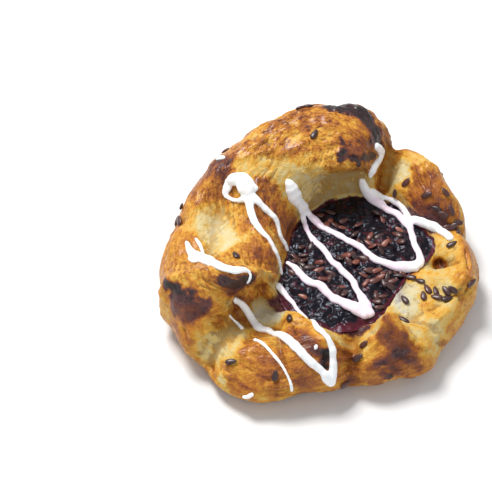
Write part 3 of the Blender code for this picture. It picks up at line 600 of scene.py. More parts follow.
class Level:
    """A number that changes over a surface. Arithmetic on it adds Math nodes."""

    def __init__(self, graph: "Graph", socket: bpy.types.NodeSocket) -> None:
        """Wraps the socket that gives the number."""
        self.graph = graph
        self.socket = socket

    def _made(self, operation: str, *values: Any) -> "Level":
        """The result of a Math node on these values or links."""
        made = self.graph.node("Math", {"operation": operation}, dict(enumerate(values)))
        return Level(self.graph, made.outputs[0])

    def __add__(self, other: Any) -> "Level":
        """self + other."""
        return self._made("ADD", self, other)

    def __sub__(self, other: Any) -> "Level":
        """self - other."""
        return self._made("SUBTRACT", self, other)

    def __rsub__(self, other: Any) -> "Level":
        """other - self."""
        return self._made("SUBTRACT", other, self)

    def __mul__(self, other: Any) -> "Level":
        """self * other."""
        return self._made("MULTIPLY", self, other)

    __radd__ = __add__
    __rmul__ = __mul__

    def size(self) -> "Level":
        """The number without its sign."""
        return self._made("ABSOLUTE", self)

    def above(self, low: float, high: float) -> "Level":
        """0 below low, 1 above high, and smooth in between."""
        inputs = {"Value": self, "From Min": low, "From Max": high}
        made = self.graph.node("MapRange", {"interpolation_type": "SMOOTHSTEP"}, inputs)
        return Level(self.graph, made.outputs[0])

    def below(self, low: float, high: float) -> "Level":
        """1 below low, 0 above high, and smooth in between."""
        return 1.0 - self.above(low, high)


class Graph:
    """The nodes of one material, round its Principled BSDF."""

    def __init__(self, name: str) -> None:
        """Makes an empty material of that name."""
        self.material = bpy.data.materials.new(name)
        self.material.use_nodes = True
        self.tree = self.material.node_tree
        self.shader = self.tree.nodes["Principled BSDF"]
        self.place = self.node("TexCoord").outputs["Object"]

    def node(
        self, kind: str, settings: dict[str, Any] | None = None, inputs: dict[Any, Any] | None = None
    ) -> bpy.types.Node:
        """Adds any node.

        Args:
            kind: The node's type without its ShaderNode start.
            settings: What is set on the node first; "stops" are a colour ramp's places and colours.
            inputs: A value or a link for each socket, by name or number.

        Returns:
            The new node.
        """
        made = self.tree.nodes.new("ShaderNode" + kind)
        for name, value in (settings or {}).items():
            if name == "stops":
                self._set_stops(made.color_ramp, value)
            else:
                setattr(made, name, value)
        for name, value in (inputs or {}).items():
            self.put(made.inputs[name], value)
        return made

    def put(self, socket: bpy.types.NodeSocket, value: Any) -> None:
        """Gives a socket its value, or links it."""
        if isinstance(value, Level):
            self.tree.links.new(value.socket, socket)
        elif isinstance(value, bpy.types.NodeSocket):
            self.tree.links.new(value, socket)
        else:
            socket.default_value = value

    def finish(self, **values: Any) -> bpy.types.Material:
        """Sets the shader's own sockets, named with _ for a space, and returns the material."""
        for name, value in values.items():
            self.put(self.shader.inputs[name.replace("_", " ")], value)
        return self.material

    @staticmethod
    def _set_stops(ramp: bpy.types.ColorRamp, stops: Iterable[tuple[float, Colour]]) -> None:
        """Gives a ramp its stops."""
        for number, (place, colour) in enumerate(stops):
            stop = ramp.elements[number] if number < 2 else ramp.elements.new(place)
            stop.position = place
            stop.color = (*colour, 1.0)

    def attribute(self, name: str) -> Level:
        """A number that the mesh carries."""
        return Level(self, self.node("Attribute", {"attribute_name": name}).outputs["Fac"])

    def direction(self, name: str) -> bpy.types.NodeSocket:
        """A place or direction that the mesh carries."""
        return self.node("Attribute", {"attribute_name": name}).outputs["Vector"]

    def mottle(self, size: float, detail: float = 3.0, rough: float = 0.6, place: Any = None) -> Level:
        """Cloudy unevenness around 0, from about -1 to 1.

        Args:
            size: How far apart the clouds lie, in millimetres.
            detail: How many finer layers there are.
            rough: How strong the finer layers are.
            place: Where the pattern is read; the object's own places if left out.

        Returns:
            The unevenness.
        """
        inputs = {"Vector": place or self.place, "Scale": 1.0 / (size * MM)}
        inputs |= {"Detail": detail, "Roughness": rough}
        return Level(self, self.node("TexNoise", None, inputs).outputs[0]) * 2.0 - 1.0

    def ramp(self, level: Level, stops: Iterable[tuple[float, Colour]]) -> bpy.types.NodeSocket:
        """The colour that the stops give at a level."""
        return self.node("ValToRGB", {"stops": stops}, {"Fac": level}).outputs["Color"]

    def mix(self, share: Any, first: Any, second: Any, blend: str = "MIX") -> bpy.types.NodeSocket:
        """Two colours mixed by a share."""
        settings = {"data_type": "RGBA", "blend_type": blend}
        first, second = ((*one, 1.0) if isinstance(one, tuple) else one for one in (first, second))
        # A mix node counts its colour sockets after those for numbers and vectors
        return self.node("Mix", settings, {0: share, 6: first, 7: second}).outputs[2]

    def bump(self, height: Level, depth: float, strength: float = 1.0) -> bpy.types.NodeSocket:
        """The normal over a height from -1 to 1.

        Args:
            height: The relief.
            depth: How deep it is, in millimetres.
            strength: How much of it shows.

        Returns:
            The normal.
        """
        inputs = {"Height": height, "Distance": depth * MM, "Strength": strength}
        return self.node("Bump", None, inputs).outputs["Normal"]


@dataclass(frozen=True)
class CrustFinish:
    """Egg-washed dough: from pale through golden and brown to burnt, mottled and finely wrinkled, with
    painted shade darkening its grooves and its steep and downward-facing faces.
    """

    stops: tuple[tuple[float, Colour], ...] = (
        (0.00, (0.58, 0.57, 0.49)),
        (0.10, (0.67, 0.59, 0.36)),
        (0.22, (0.68, 0.50, 0.185)),
        (0.34, (0.72, 0.405, 0.066)),
        (0.45, (0.63, 0.275, 0.028)),
        (0.56, (0.46, 0.155, 0.016)),
        (0.67, (0.30, 0.082, 0.016)),
        (0.78, (0.165, 0.040, 0.021)),
        (0.87, (0.085, 0.024, 0.030)),
        (1.00, (0.018, 0.012, 0.017)),
    )
    stain: Colour = (0.10, 0.022, 0.034)
    deep_stain: Colour = (0.030, 0.008, 0.014)
    coarse: float = 0.28
    streaky: float = 0.14
    fine: float = 0.12
    line: float = 0.15
    # Painted shade: the colour that grooves, hollows and steep or downward-facing faces are multiplied
    # towards
    groove: Colour = (0.36, 0.19, 0.08)
    relief_depth: float = 0.42
    matt: float = 0.54
    glaze: float = 0.16
    shine: Colour = (1.0, 0.86, 0.64)
    coat: float = 0.20

    def material(self) -> bpy.types.Material:
        """The baked dough's material."""
        graph = Graph("baked_dough")
        bake, char, stain = (graph.attribute(name) for name in ("bake", "char", "stain"))
        hollow, crisp = (graph.attribute(name) for name in ("hollow", "crisp"))
        flow = graph.direction("flow")
        streaks = graph.mottle(2.0, 4.0, 0.65, flow)
        blotches = graph.mottle(3.2, 6.0, 0.66)
        specks = graph.mottle(0.75, 2.0, 0.7)
        seams = graph.mottle(3.4, 3.0, 0.55, flow).size().below(0.0, 0.035) * bake.above(0.2, 0.45)
        folds = graph.mottle(1.9, 3.0, 0.6, flow).size()
        lines = folds.below(0.0, 0.06) * bake.above(0.3, 0.5) * blotches.above(-0.1, 0.2)
        lines = seams * (crisp * 0.9 + 0.4) + lines * (crisp * 1.3 + 0.1)
        spread = (bake.above(0.05, 0.35) * 0.5 + 0.5) * (1.0 - bake.above(0.62, 0.85) * 0.6)
        flecks = graph.mottle(1.7, 3.0, 0.6)
        uneven = blotches * self.coarse + streaks * (crisp + 0.4) * self.streaky
        uneven = uneven + (specks + flecks) * self.fine
        level = bake + uneven * spread + lines * self.line
        colour = graph.ramp(level, self.stops)
        # Painted shade: darkens the colour in grooves, hollows and on steep or downward-facing faces, as the
        # hollow share says
        deep = hollow.above(0.1, 0.9) * (bake.above(0.05, 0.35) * 0.35 + 0.30)
        colour = graph.mix(deep, colour, self.groove, "MULTIPLY")
        soaked = stain * (specks * 0.7 + blotches * 0.8 + 1.0)
        colour = graph.mix(soaked.above(0.05, 0.75), colour, self.stain)
        colour = graph.mix(soaked.above(0.7, 1.1), colour, self.deep_stain)
        wrinkles = graph.mottle(1.3, 4.0, 0.62, flow)
        grain = graph.mottle(0.6, 3.0, 0.6)
        creased = folds * bake.above(0.2, 0.4) * (crisp * 1.1 + 0.2)
        relief = wrinkles * (bake.above(0.1, 0.4) * 0.35 + 0.15) - creased
        relief = relief + grain * (char * 0.8 + 0.6) - lines * 0.3
        normal = graph.bump(relief, self.relief_depth)
        glazed = bake.above(0.22, 0.6)
        roughness = self.matt - glazed * self.glaze + specks * 0.14 - char * 0.06 - stain * 0.15
        return graph.finish(
            Base_Color=colour,
            Roughness=roughness,
            Normal=normal,
            Specular_IOR_Level=0.40,
            Specular_Tint=(*self.shine, 1.0),
            Coat_Weight=glazed * (crisp * 0.12 + self.coat) + char * self.coat,
            Coat_Roughness=0.20,
            Subsurface_Weight=0.05,
            Subsurface_Radius=(1.2, 0.6, 0.25),
            Subsurface_Scale=MM,
            IOR=1.45,
        )


@dataclass(frozen=True)
class FillingFinish:
    """Cooked dark berries: almost black, violet where thin, and wet."""

    deep: Colour = (0.005, 0.003, 0.006)
    thin: Colour = (0.085, 0.009, 0.016)
    shine: Colour = (0.74, 0.82, 1.0)
    wet: float = 0.27

    def material(self) -> bpy.types.Material:
        """The filling's material."""
        graph = Graph("berry_filling")
        cloud = graph.mottle(2.6, 4.0, 0.6)
        share = cloud.above(0.0, 0.4) * 0.7 + graph.attribute("thin") * (cloud + 1.0) * 0.9
        colour = graph.mix(share.above(0.0, 1.0), self.deep, self.thin)
        skin = graph.mottle(1.5, 2.0, 0.5)
        normal = graph.bump(skin, 0.14, 0.7)
        return graph.finish(
            Base_Color=colour,
            Roughness=self.wet + cloud.above(-0.3, 0.4) * 0.10,
            Normal=normal,
            Specular_Tint=(*self.shine, 1.0),
            IOR=1.36,
        )


@dataclass(frozen=True)
class LinseedFinish:
    """Smooth brown seed coats, dark on the rim and redder where the filling wets them."""

    stops: tuple[tuple[float, Colour], ...] = (
        (0.0, (0.022, 0.010, 0.011)),
        (0.35, (0.062, 0.022, 0.020)),
        (0.65, (0.115, 0.029, 0.022)),
        (1.0, (0.25, 0.075, 0.050)),
    )

    def material(self) -> bpy.types.Material:
        """The seeds' material."""
        graph = Graph("linseed_coat")
        level = graph.attribute("tone") + graph.mottle(1.2, 3.0, 0.6) * 0.10
        normal = graph.bump(graph.mottle(0.35, 2.0, 0.6), 0.04, 0.6)
        return graph.finish(
            Base_Color=graph.ramp(level, self.stops),
            Roughness=0.38 + graph.mottle(0.9) * 0.08,
            Normal=normal,
            Coat_Weight=0.2,
            Coat_Roughness=0.22,
        )


@dataclass(frozen=True)
class IcingFinish:
    """Thick sugar icing: white, and pink over the filling, whose colour it draws in."""

    white: Colour = (0.96, 0.975, 0.985)
    pink: Colour = (0.93, 0.70, 0.86)
    # A faint glow stands in for light that spreads inside the sugar
    glow: Colour = (0.92, 0.96, 1.0)
    glow_strength: float = 0.06

    def material(self) -> bpy.types.Material:
        """The icing's material."""
        graph = Graph("sugar_icing")
        cloud = graph.mottle(3.5, 3.0, 0.6)
        share = graph.attribute("tinge") * (cloud * 0.5 + 0.75)
        colour = graph.mix(share, self.white, self.pink)
        normal = graph.bump(graph.mottle(1.4, 2.0, 0.5), 0.10, 0.5)
        return graph.finish(
            Base_Color=colour,
            Emission_Color=(*self.glow, 1.0),
            Emission_Strength=self.glow_strength,
            Roughness=0.36 + cloud * 0.05,
            Normal=normal,
            Subsurface_Weight=0.25,
            Subsurface_Radius=(1.0, 0.8, 0.8),
            Subsurface_Scale=0.6 * MM,
            Coat_Weight=0.15,
            Coat_Roughness=0.2,
        )


def select_only(*chosen: bpy.types.Object) -> None:
    """Selects these objects and makes the first one active."""
    bpy.ops.object.select_all(action="DESELECT")
    for one in chosen:
        one.select_set(True)
    bpy.context.view_layer.objects.active = chosen[0]


@dataclass
class Ball:
    """A ball of rings, as it is added, whose vertices are then moved to a form of the same layout."""

    name: str
    around: int
    rings: int
    thing: bpy.types.Object = field(init=False)
    ring: np.ndarray = field(init=False)
    turn: np.ndarray = field(init=False)

    def __post_init__(self) -> None:
        """Adds the ball and finds each vertex's ring, counted from below, and its turn."""
        bpy.ops.object.select_all(action="DESELECT")
        bpy.ops.mesh.primitive_uv_sphere_add(segments=self.around, ring_count=self.rings + 1, radius=1.0)
        self.thing = bpy.context.object
        self.thing.name = self.thing.data.name = self.name
        self._put_in_order()
        co = np.zeros(len(self.thing.data.vertices) * 3, np.float32)
        self.thing.data.vertices.foreach_get("co", co)
        co = co.reshape(-1, 3).astype(float)
        drop = np.arccos(np.clip(-co[:, 2], -1.0, 1.0))
        self.ring = np.rint(drop * (self.rings + 1) / math.pi).astype(int)
        angle = np.arctan2(co[:, 1], co[:, 0]) % (2.0 * math.pi)
        self.turn = np.rint(angle * self.around / (2.0 * math.pi)).astype(int) % self.around

    def _put_in_order(self) -> None:
        """Sorts the edges and faces by their first corners, because the order they are added in changes."""
        sheet = bmesh.new()
        sheet.from_mesh(self.thing.data)
        count = len(sheet.verts)
        for parts in (sheet.edges, sheet.faces):
            parts.sort(key=lambda part: part.verts[0].index * count + part.verts[1].index)
        sheet.to_mesh(self.thing.data)
        sheet.free()

    def another(self) -> bpy.types.Object:
        """One more thing with a mesh of its own in this layout."""
        made = self.thing.copy()
        made.data = self.thing.data.copy()
        bpy.context.scene.collection.objects.link(made)
        return made

    def gathered(self, values: np.ndarray) -> np.ndarray:
        """The vertices' values laid out by ring and turn, the poles among them as rings."""
        grid = np.zeros((self.rings + 2, self.around, values.shape[1]))
        grid[self.ring, self.turn] = values
        for pole in (0, self.rings + 1):
            grid[pole] = values[self.ring == pole][0]
        return grid

    def spread(self, grid: np.ndarray, low: Any, high: Any) -> np.ndarray:
        """Values for every vertex from values (ring, turn, ...) and those at the low and the high pole."""
        first, last = (np.broadcast_to(pole, grid[:1].shape) for pole in (low, high))
        return np.concatenate([first, grid, last])[self.ring, self.turn]


def set_places(thing: bpy.types.Object, points: np.ndarray) -> None:
    """Moves a mesh's vertices to these places, in millimetres."""
    thing.data.vertices.foreach_set("co", points.astype(np.float32).ravel())
    thing.data.update()


def places_of(thing: bpy.types.Object) -> np.ndarray:
    """The mesh's vertices."""
    co = np.zeros(len(thing.data.vertices) * 3, np.float32)
    thing.data.vertices.foreach_get("co", co)
    return co.reshape(-1, 3).astype(float)


def normals_of(thing: bpy.types.Object) -> np.ndarray:
    """The mesh's normals, one a vertex."""
    directions = np.zeros(len(thing.data.vertices) * 3, np.float32)
    thing.data.vertex_normals.foreach_get("vector", directions)
    return directions.reshape(-1, 3).astype(float)


def carry(thing: bpy.types.Object, name: str, values: np.ndarray) -> None:
    """Stores a number or a place on each vertex, for the material to read."""
    kind = "FLOAT" if values.ndim == 1 else "FLOAT_VECTOR"
    made = thing.data.attributes.new(name, kind, "POINT")
    made.data.foreach_set("value" if values.ndim == 1 else "vector", values.astype(np.float32).ravel())


def hand_over(thing: bpy.types.Object, material: bpy.types.Material, slot: Slot, *nodes: Node) -> None:
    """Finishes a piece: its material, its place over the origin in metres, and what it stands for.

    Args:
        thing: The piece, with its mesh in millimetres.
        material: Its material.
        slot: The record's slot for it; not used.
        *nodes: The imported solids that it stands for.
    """
    thing.data.transform(Matrix.Scale(MM, 4) @ Matrix.Translation(CENTRING))
    thing.data.materials.clear()
    thing.data.materials.append(material)
    thing.data.shade_smooth()
    thing.data.update()
    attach(thing, BODY)
    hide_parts(*(node.value for node in nodes))
    log.info("%s: %d triangles", thing.name, sum(len(face.vertices) - 2 for face in thing.data.polygons))


def crispness(points: np.ndarray) -> np.ndarray:
    """How crisp the skin is: more the higher it stands, in the oven's heat."""
    return smoothstep(24.0, 36.0, points[:, 2])


def front_shore(points: np.ndarray, start: float, end: float) -> np.ndarray:
    """1 at the front shore, where the filling runs out thin over the dough.

    Args:
        points: The places.
        start: How far forward it starts.
        end: How far forward it is full.

    Returns:
        The share for each place.
    """
    return smoothstep(start, end, points[:, 1]) * smoothstep(26.0, 18.0, points[:, 0])


@dataclass
class Dough:
    """The folded dough with its baked skin."""

    rim: Rim
    around: int = 480
    steps: tuple[int, ...] = (26, 32, 34, 40, 40, 18, 4)
    base_rings: int = 3
    floor_rings: int = 2
    lump_rise: float = 0.8
    lump_size: float = 13.0
    # 1 gives a pleat a knife edge, and 2 a round one
    pleat_sharpness: float = 1.4
    crinkle: float = 0.75
    layer_step: float = 0.5
    layer_period: float = 4.2
    blister: float = 0.65
    char_rough: float = 0.45
    grain: float = 0.12
    # How many vertices away a groove's banks lie, and its depth in millimetres that counts as full, for the
    # painted shade in grooves
    shade_groove_scales: tuple[tuple[int, float], ...] = ((2, 0.30), (6, 1.6), (14, 6.0))
    # How much painted shade steep and downward-facing faces get
    underside_shade: float = 0.55
    # How much longer patterns are along the rim than across it
    squeeze: float = 3.0
    # The skin's bake where no patch says otherwise, and what is added on walls that face the filling, at the
    # foot and on the tops of puffs
    plain_bake: float = 0.44
    inner_bake: float = -0.17
    foot_bake: float = 0.30
    puff_bake: float = 0.10
    # A patch above this level is burnt, and has a sharper edge
    burnt: float = 0.8
    burnt_edge: float = 0.5
    thing: bpy.types.Object = field(init=False)
    well: np.ndarray = field(init=False)

    def build(self) -> None:
        """Models the dough, with the numbers that its material reads."""
        angles = self.rim.even_angles(self.around)
        rings = self._rings(angles)
        ball = Ball("dough", self.around, len(rings))
        self.thing = ball.thing
        points = ball.spread(rings, self.rim.middle(0.0), self.rim.middle(self.rim.well_floor))
        set_places(self.thing, points)
        points = self._folded(points)
        set_places(self.thing, points)
        flow, climb = self._flow(ball, rings)
        puffs = 2.2 * np.abs(unevenness(flow, 3.4, 21.0)) + 1.1 * np.abs(unevenness(flow, 1.7, 22.0))
        puffs -= 0.6
        bake, char, stain = self._baked(points, puffs)
        rise = self._skin(points, flow, climb, puffs, bake)
        points = points + normals_of(self.thing) * rise[:, None]
        points[:, 2] = np.maximum(points[:, 2], 0.0)
        set_places(self.thing, points)
        self.well = self._well(ball, points)
        # The hollow share is painted shade for grooves, hollows and steep or downward-facing faces
        shares = {"bake": bake, "char": char, "stain": stain, "hollow": self._painted_shade(ball, points)}
        shares["crisp"] = crispness(points)
        for name, values in {**shares, "flow": flow * MM}.items():
            carry(self.thing, name, values)

    def _rings(self, angles: np.ndarray) -> np.ndarray:
        """The bare form's rings, from the base's middle to the well's."""
        rings = self.rim.sections(angles, self.steps)
        base_centre, floor_centre = self.rim.middle(0.0), self.rim.middle(self.rim.well_floor)
        steps = range(1, self.base_rings + 1)
        base = [base_centre + (rings[0] - base_centre) * i / (self.base_rings + 1) for i in steps]
        shares = [1 - (i + 1) / (self.floor_rings + 1) for i in range(self.floor_rings)]
        floor = [floor_centre + (rings[-1] - floor_centre) * share for share in shares]
        return np.concatenate([base, rings, floor])

    def _free(self, points: np.ndarray, low: float, high: float) -> np.ndarray:
        """How far a place may move: not at all on the base and at the filling's shore."""
        beyond = self.rim.beyond_shore(points)
        leaning = smoothstep(18.0, 21.0, points[:, 2])
        return smoothstep(low, high, points[:, 2]) * np.maximum(smoothstep(0.0, 3.0, beyond), leaning)

    def _folded(self, points: np.ndarray) -> np.ndarray:
        """The form with its pleats and its broad lumps."""
        rise = self.lump_rise * unevenness(points, self.lump_size, 4.0)
        flat = points * (1.0, 1.0, 0.0)
        for pleat in PLEATS:
            distance = span_distance(flat, (*pleat.start, 0.0), (*pleat.end, 0.0))
            rise += pleat.rise * np.exp(-((distance / pleat.width) ** self.pleat_sharpness))
        rise *= smoothstep(2.0, 9.0, points[:, 2]) * smoothstep(0.0, 3.0, self.rim.beyond_shore(points))
        return points + normals_of(self.thing) * rise[:, None]

    def _flow(self, ball: Ball, rings: np.ndarray) -> tuple[np.ndarray, np.ndarray]:
        """Places that run along the skin, on a drum as long round as the crest, and the way up to each.

        Args:
            ball: The mesh's layout.
            rings: The bare form's rings.

        Returns:
            The place on the drum for each vertex, squeezed along the rim so that patterns stretch that way,
            and how far up its section each vertex lies, in millimetres.
        """
        steps = np.linalg.norm(np.diff(rings, axis=0), axis=2)
        climb = np.concatenate([np.zeros((1, self.around)), np.cumsum(steps, axis=0)])
        climb = climb - climb[self.base_rings]
        crest = rings[self.base_rings + sum(self.steps[:3])]
        length = np.linalg.norm(crest - np.roll(crest, 1, axis=0), axis=1).sum()
        radius = length / (2.0 * math.pi) / self.squeeze
        turns = 2.0 * math.pi * np.arange(self.around) / self.around
        round_drum = (radius * np.cos(turns), radius * np.sin(turns))
        drum = np.stack(np.broadcast_arrays(*round_drum, climb), axis=-1)
        low, high = drum[:1].mean(axis=1, keepdims=True), drum[-1:].mean(axis=1, keepdims=True)
        return ball.spread(drum, low, high), ball.spread(climb, climb[0].mean(), climb[-1].mean())

    def _baked(self, points: np.ndarray, puffs: np.ndarray) -> tuple[np.ndarray, np.ndarray, np.ndarray]:
        """How brown, how charred and how stained each place is.

        Args:
            points: The places.
            puffs: The skin's puffs, whose tops brown more.

        Returns:
            The three shares, each from 0 to 1.
        """
        beyond = self.rim.beyond_shore(points)
        height = points[:, 2]
        facing = normals_of(self.thing)
        outward = points[:, :2] - np.array(self.rim.pool)
        outward /= np.maximum(np.linalg.norm(outward, axis=1), 1e-6)[:, None]
        inside = smoothstep(0.15, 0.7, -(facing[:, :2] * outward).sum(axis=1))
        broad, middle = unevenness(points, 12.0, 7.0), unevenness(points, 5.0, 8.0)
        bake = self.plain_bake + 0.12 * broad + 0.10 * middle + 0.04 * smoothstep(15.0, 40.0, height)
        bake += self.inner_bake * inside * smoothstep(20.0, 4.0, beyond)
        bake += self.foot_bake * smoothstep(2.6 + 1.2 * middle, 0.4, height)
        ragged = points
        for amount, size, seed in ((1.6, 4.0, 11.0), (0.7, 1.5, 14.0)):
            shifts = [unevenness(points, size, seed + axis) for axis in range(3)]
            ragged = ragged + amount * np.stack(shifts, axis=1)
        for patch in BAKES:
            distance = span_distance(ragged, patch.start, patch.end)
            edge = (1.2 + 0.45 * patch.radius) * patch.softness
            edge *= self.burnt_edge if patch.level > self.burnt else 1.0
            share = smoothstep(patch.radius + edge, patch.radius - 0.7 * edge, distance)
            bake += (patch.level + 0.07 * middle - bake) * share
        bake += self.puff_bake * puffs * smoothstep(0.1, 0.4, bake)
        front = front_shore(points, -15.0, -30.0)
        spread = 0.8 + 1.6 * front + 1.5 * (1.0 + front) * unevenness(points, 6.0, 17.0)
        spread += 1.0 * unevenness(points, 1.8, 18.0)
        stain = smoothstep(1.0, 0.0, beyond / np.maximum(spread, 0.3)) * smoothstep(18.5, 16.0, height)
        for patch in STAINS:
            distance = span_distance(ragged, patch.start, patch.end)
            share = smoothstep(patch.radius + 1.6, patch.radius - 1.8, distance)
            stain = np.maximum(stain, patch.strength * share)
        stain *= smoothstep(24.5, 20.0, height)
        char = smoothstep(0.78, 0.92, bake)
        return np.clip(bake, 0.0, 1.0), char, stain

    def _skin(
        self, points: np.ndarray, flow: np.ndarray, climb: np.ndarray, puffs: np.ndarray, bake: np.ndarray
    ) -> np.ndarray:
        """How far the skin's own relief lifts each place: puffs, layers, blisters, char and grain."""
        # Puffs
        patchy = smoothstep(-0.25, 0.3, unevenness(points, 9.0, 23.0))
        crisp = smoothstep(0.2, 0.42, bake)
        rise = self.crinkle * puffs * (0.2 + 0.8 * patchy) * (0.35 + 0.65 * crisp)
        rise *= 0.55 + 0.45 * crispness(points)
        # Edges of the dough's layers, like steps
        warp = climb / self.layer_period + 1.4 * unevenness(flow, 6.0, 24.0)
        warp += 0.35 * unevenness(points, 2.2, 25.0)
        saw = warp % 1.0
        layer = saw * smoothstep(1.0, 0.88, saw)
        rise += self.layer_step * layer * smoothstep(0.0, 0.35, unevenness(points, 10.0, 26.0)) * crisp
        # Blisters
        near, luck = cells(points, 3.0, 27.0)
        dome = np.sqrt(np.clip(1.0 - (near / 0.55) ** 2, 0.0, 1.0))
        tender = smoothstep(0.34, 0.16, bake)
        rise += self.blister * dome * (luck > 0.5) * (0.25 + 0.75 * tender) * luck
        # Char and grain
        rise += self.char_rough * smoothstep(0.7, 0.9, bake) * unevenness(points, 1.6, 28.0)
        rise += self.grain * (unevenness(points, 1.2, 29.0) + tender * unevenness(points, 1.8, 30.0))
        for crease in CREASES:
            distance = span_distance(points, crease.start, crease.end)
            rise += crease.rise * np.exp(-((distance / crease.width) ** 1.3))
        return rise * self._free(points, 0.4, 3.0)

    def _painted_shade(self, ball: Ball, points: np.ndarray) -> np.ndarray:
        """How much painted shade each place gets: how deep it lies in a groove, from -1 on a ridge to 1,
        with more on steep and downward-facing faces.
        """
        grid, facing = ball.gathered(points), ball.gathered(normals_of(self.thing))
        total = np.zeros(grid.shape[:2])
        for reach, depth in self.shade_groove_scales:
            around = sum(np.roll(grid, step, axis=axis) for axis in (0, 1) for step in (-reach, reach)) / 4.0
            total += ((around - grid) * facing).sum(axis=2) / depth
        total += self.underside_shade * smoothstep(0.4, -0.2, facing[:, :, 2])
        return np.clip(total, -1.0, 1.0)[ball.ring, ball.turn]

    def _well(self, ball: Ball, points: np.ndarray) -> np.ndarray:
        """The finished rings of the well, from the shore down to its floor."""
        grid = ball.gathered(points)
        first = 1 + self.base_rings + sum(self.steps[:-1])
        return grid[first:-1]


@dataclass
class Filling:
    """The pool of cooked berries, which fills the dough's well."""

    rim: Rim
    dough: Dough
    rings: int = 96
    gap: float = 0.4
    edge: float = 1.1
    dome: float = 1.6
    overlap: float = 1.4
    # How wide its thin edge is at the front, and which share of that elsewhere
    shallow: float = 3.4
    least: float = 0.12
    thing: bpy.types.Object = field(init=False)

    def build(self) -> None:
        """Models the filling."""
        well = self.dough.well
        centre = self.rim.middle(self.rim.shore_height)
        under = well[::-1] + (0.0, 0.0, self.gap)
        shore = well[0].copy()
        shore[:, 2] = self.rim.shore_height
        tops = []
        for i in range(self.rings):
            share = 1.0 - i / self.rings
            out = share * (1.0 + self.overlap / POOL_RADIUS)
            ring = centre + (shore - centre) * out
            ring[:, 2] += self.edge + self.dome * (1.0 - share**2)
            tops.append(ring)
        rings = np.concatenate([under, tops])
        ball = Ball("berry_pool", self.dough.around, len(rings))
        self.thing = ball.thing
        low = self.rim.middle(self.rim.well_floor + self.gap)
        high = self.rim.middle(self.rim.shore_height + self.edge + self.dome)
        points = ball.spread(rings, low, high)
        set_places(self.thing, points)
        top = ball.ring > len(under)
        points[top, 2] += self._lumps(points[top])
        set_places(self.thing, points)
        front = front_shore(points, -12.0, -28.0)
        reach = self.shallow * (self.least + (1.0 - self.least) * front)
        reach *= 1.0 + 0.8 * unevenness(points, 5.0, 34.0)
        carry(self.thing, "thin", smoothstep(-reach, -0.3 * reach, self.rim.beyond_shore(points)))

    def _lumps(self, points: np.ndarray) -> np.ndarray:
        """How far berries and skins lift the top."""
        rise = 0.8 * unevenness(points, 6.0, 9.0) - 0.8 * np.abs(unevenness(points, 3.0, 33.0))
        # Whole berries, then their small bits
        near, luck = cells(points, 4.4, 31.0)
        rise += 1.3 * (0.3 + 0.7 * luck) * np.sqrt(np.clip(1.0 - (near / 0.8) ** 2, 0.0, 1.0))
        near, luck = cells(points, 2.2, 32.0)
        rise += 0.5 * luck * np.sqrt(np.clip(1.0 - (near / 0.75) ** 2, 0.0, 1.0))
        return rise - 0.6


class Ground:
    """The finished top of the dough and filling, for laying seeds and icing on it."""

    def __init__(self, *things: bpy.types.Object) -> None:
        """Reads the meshes, in millimetres."""
        points: list[Vector] = []
        faces: list[list[int]] = []
        for thing in things:
            faces += [[len(points) + i for i in face.vertices] for face in thing.data.polygons]
            points += [vertex.co.copy() for vertex in thing.data.vertices]
        self.tree = BVHTree.FromPolygons(points, faces)

    def nearest(self, place: Sequence[float]) -> tuple[Vector, Vector]:
        """The nearest place on the top, and its normal."""
        found, normal, _, _ = self.tree.find_nearest(Vector(place))
        return found, normal

    def soft_normal(self, place: Vector, reach: float) -> Vector:
        """The top's normal as evened out over a small reach."""
        total = Vector()
        for _, normal, _, distance in self.tree.find_nearest_range(place, reach):
            total += normal * (1.0 - distance / reach)
        return total.normalized() if total.length > 1e-6 else self.nearest(place)[1]


@dataclass(frozen=True)
class Patch:
    """Linseed scattered round a place on the top."""

    centre: Point
    radius: float
    count: int
    spin: float | None = None


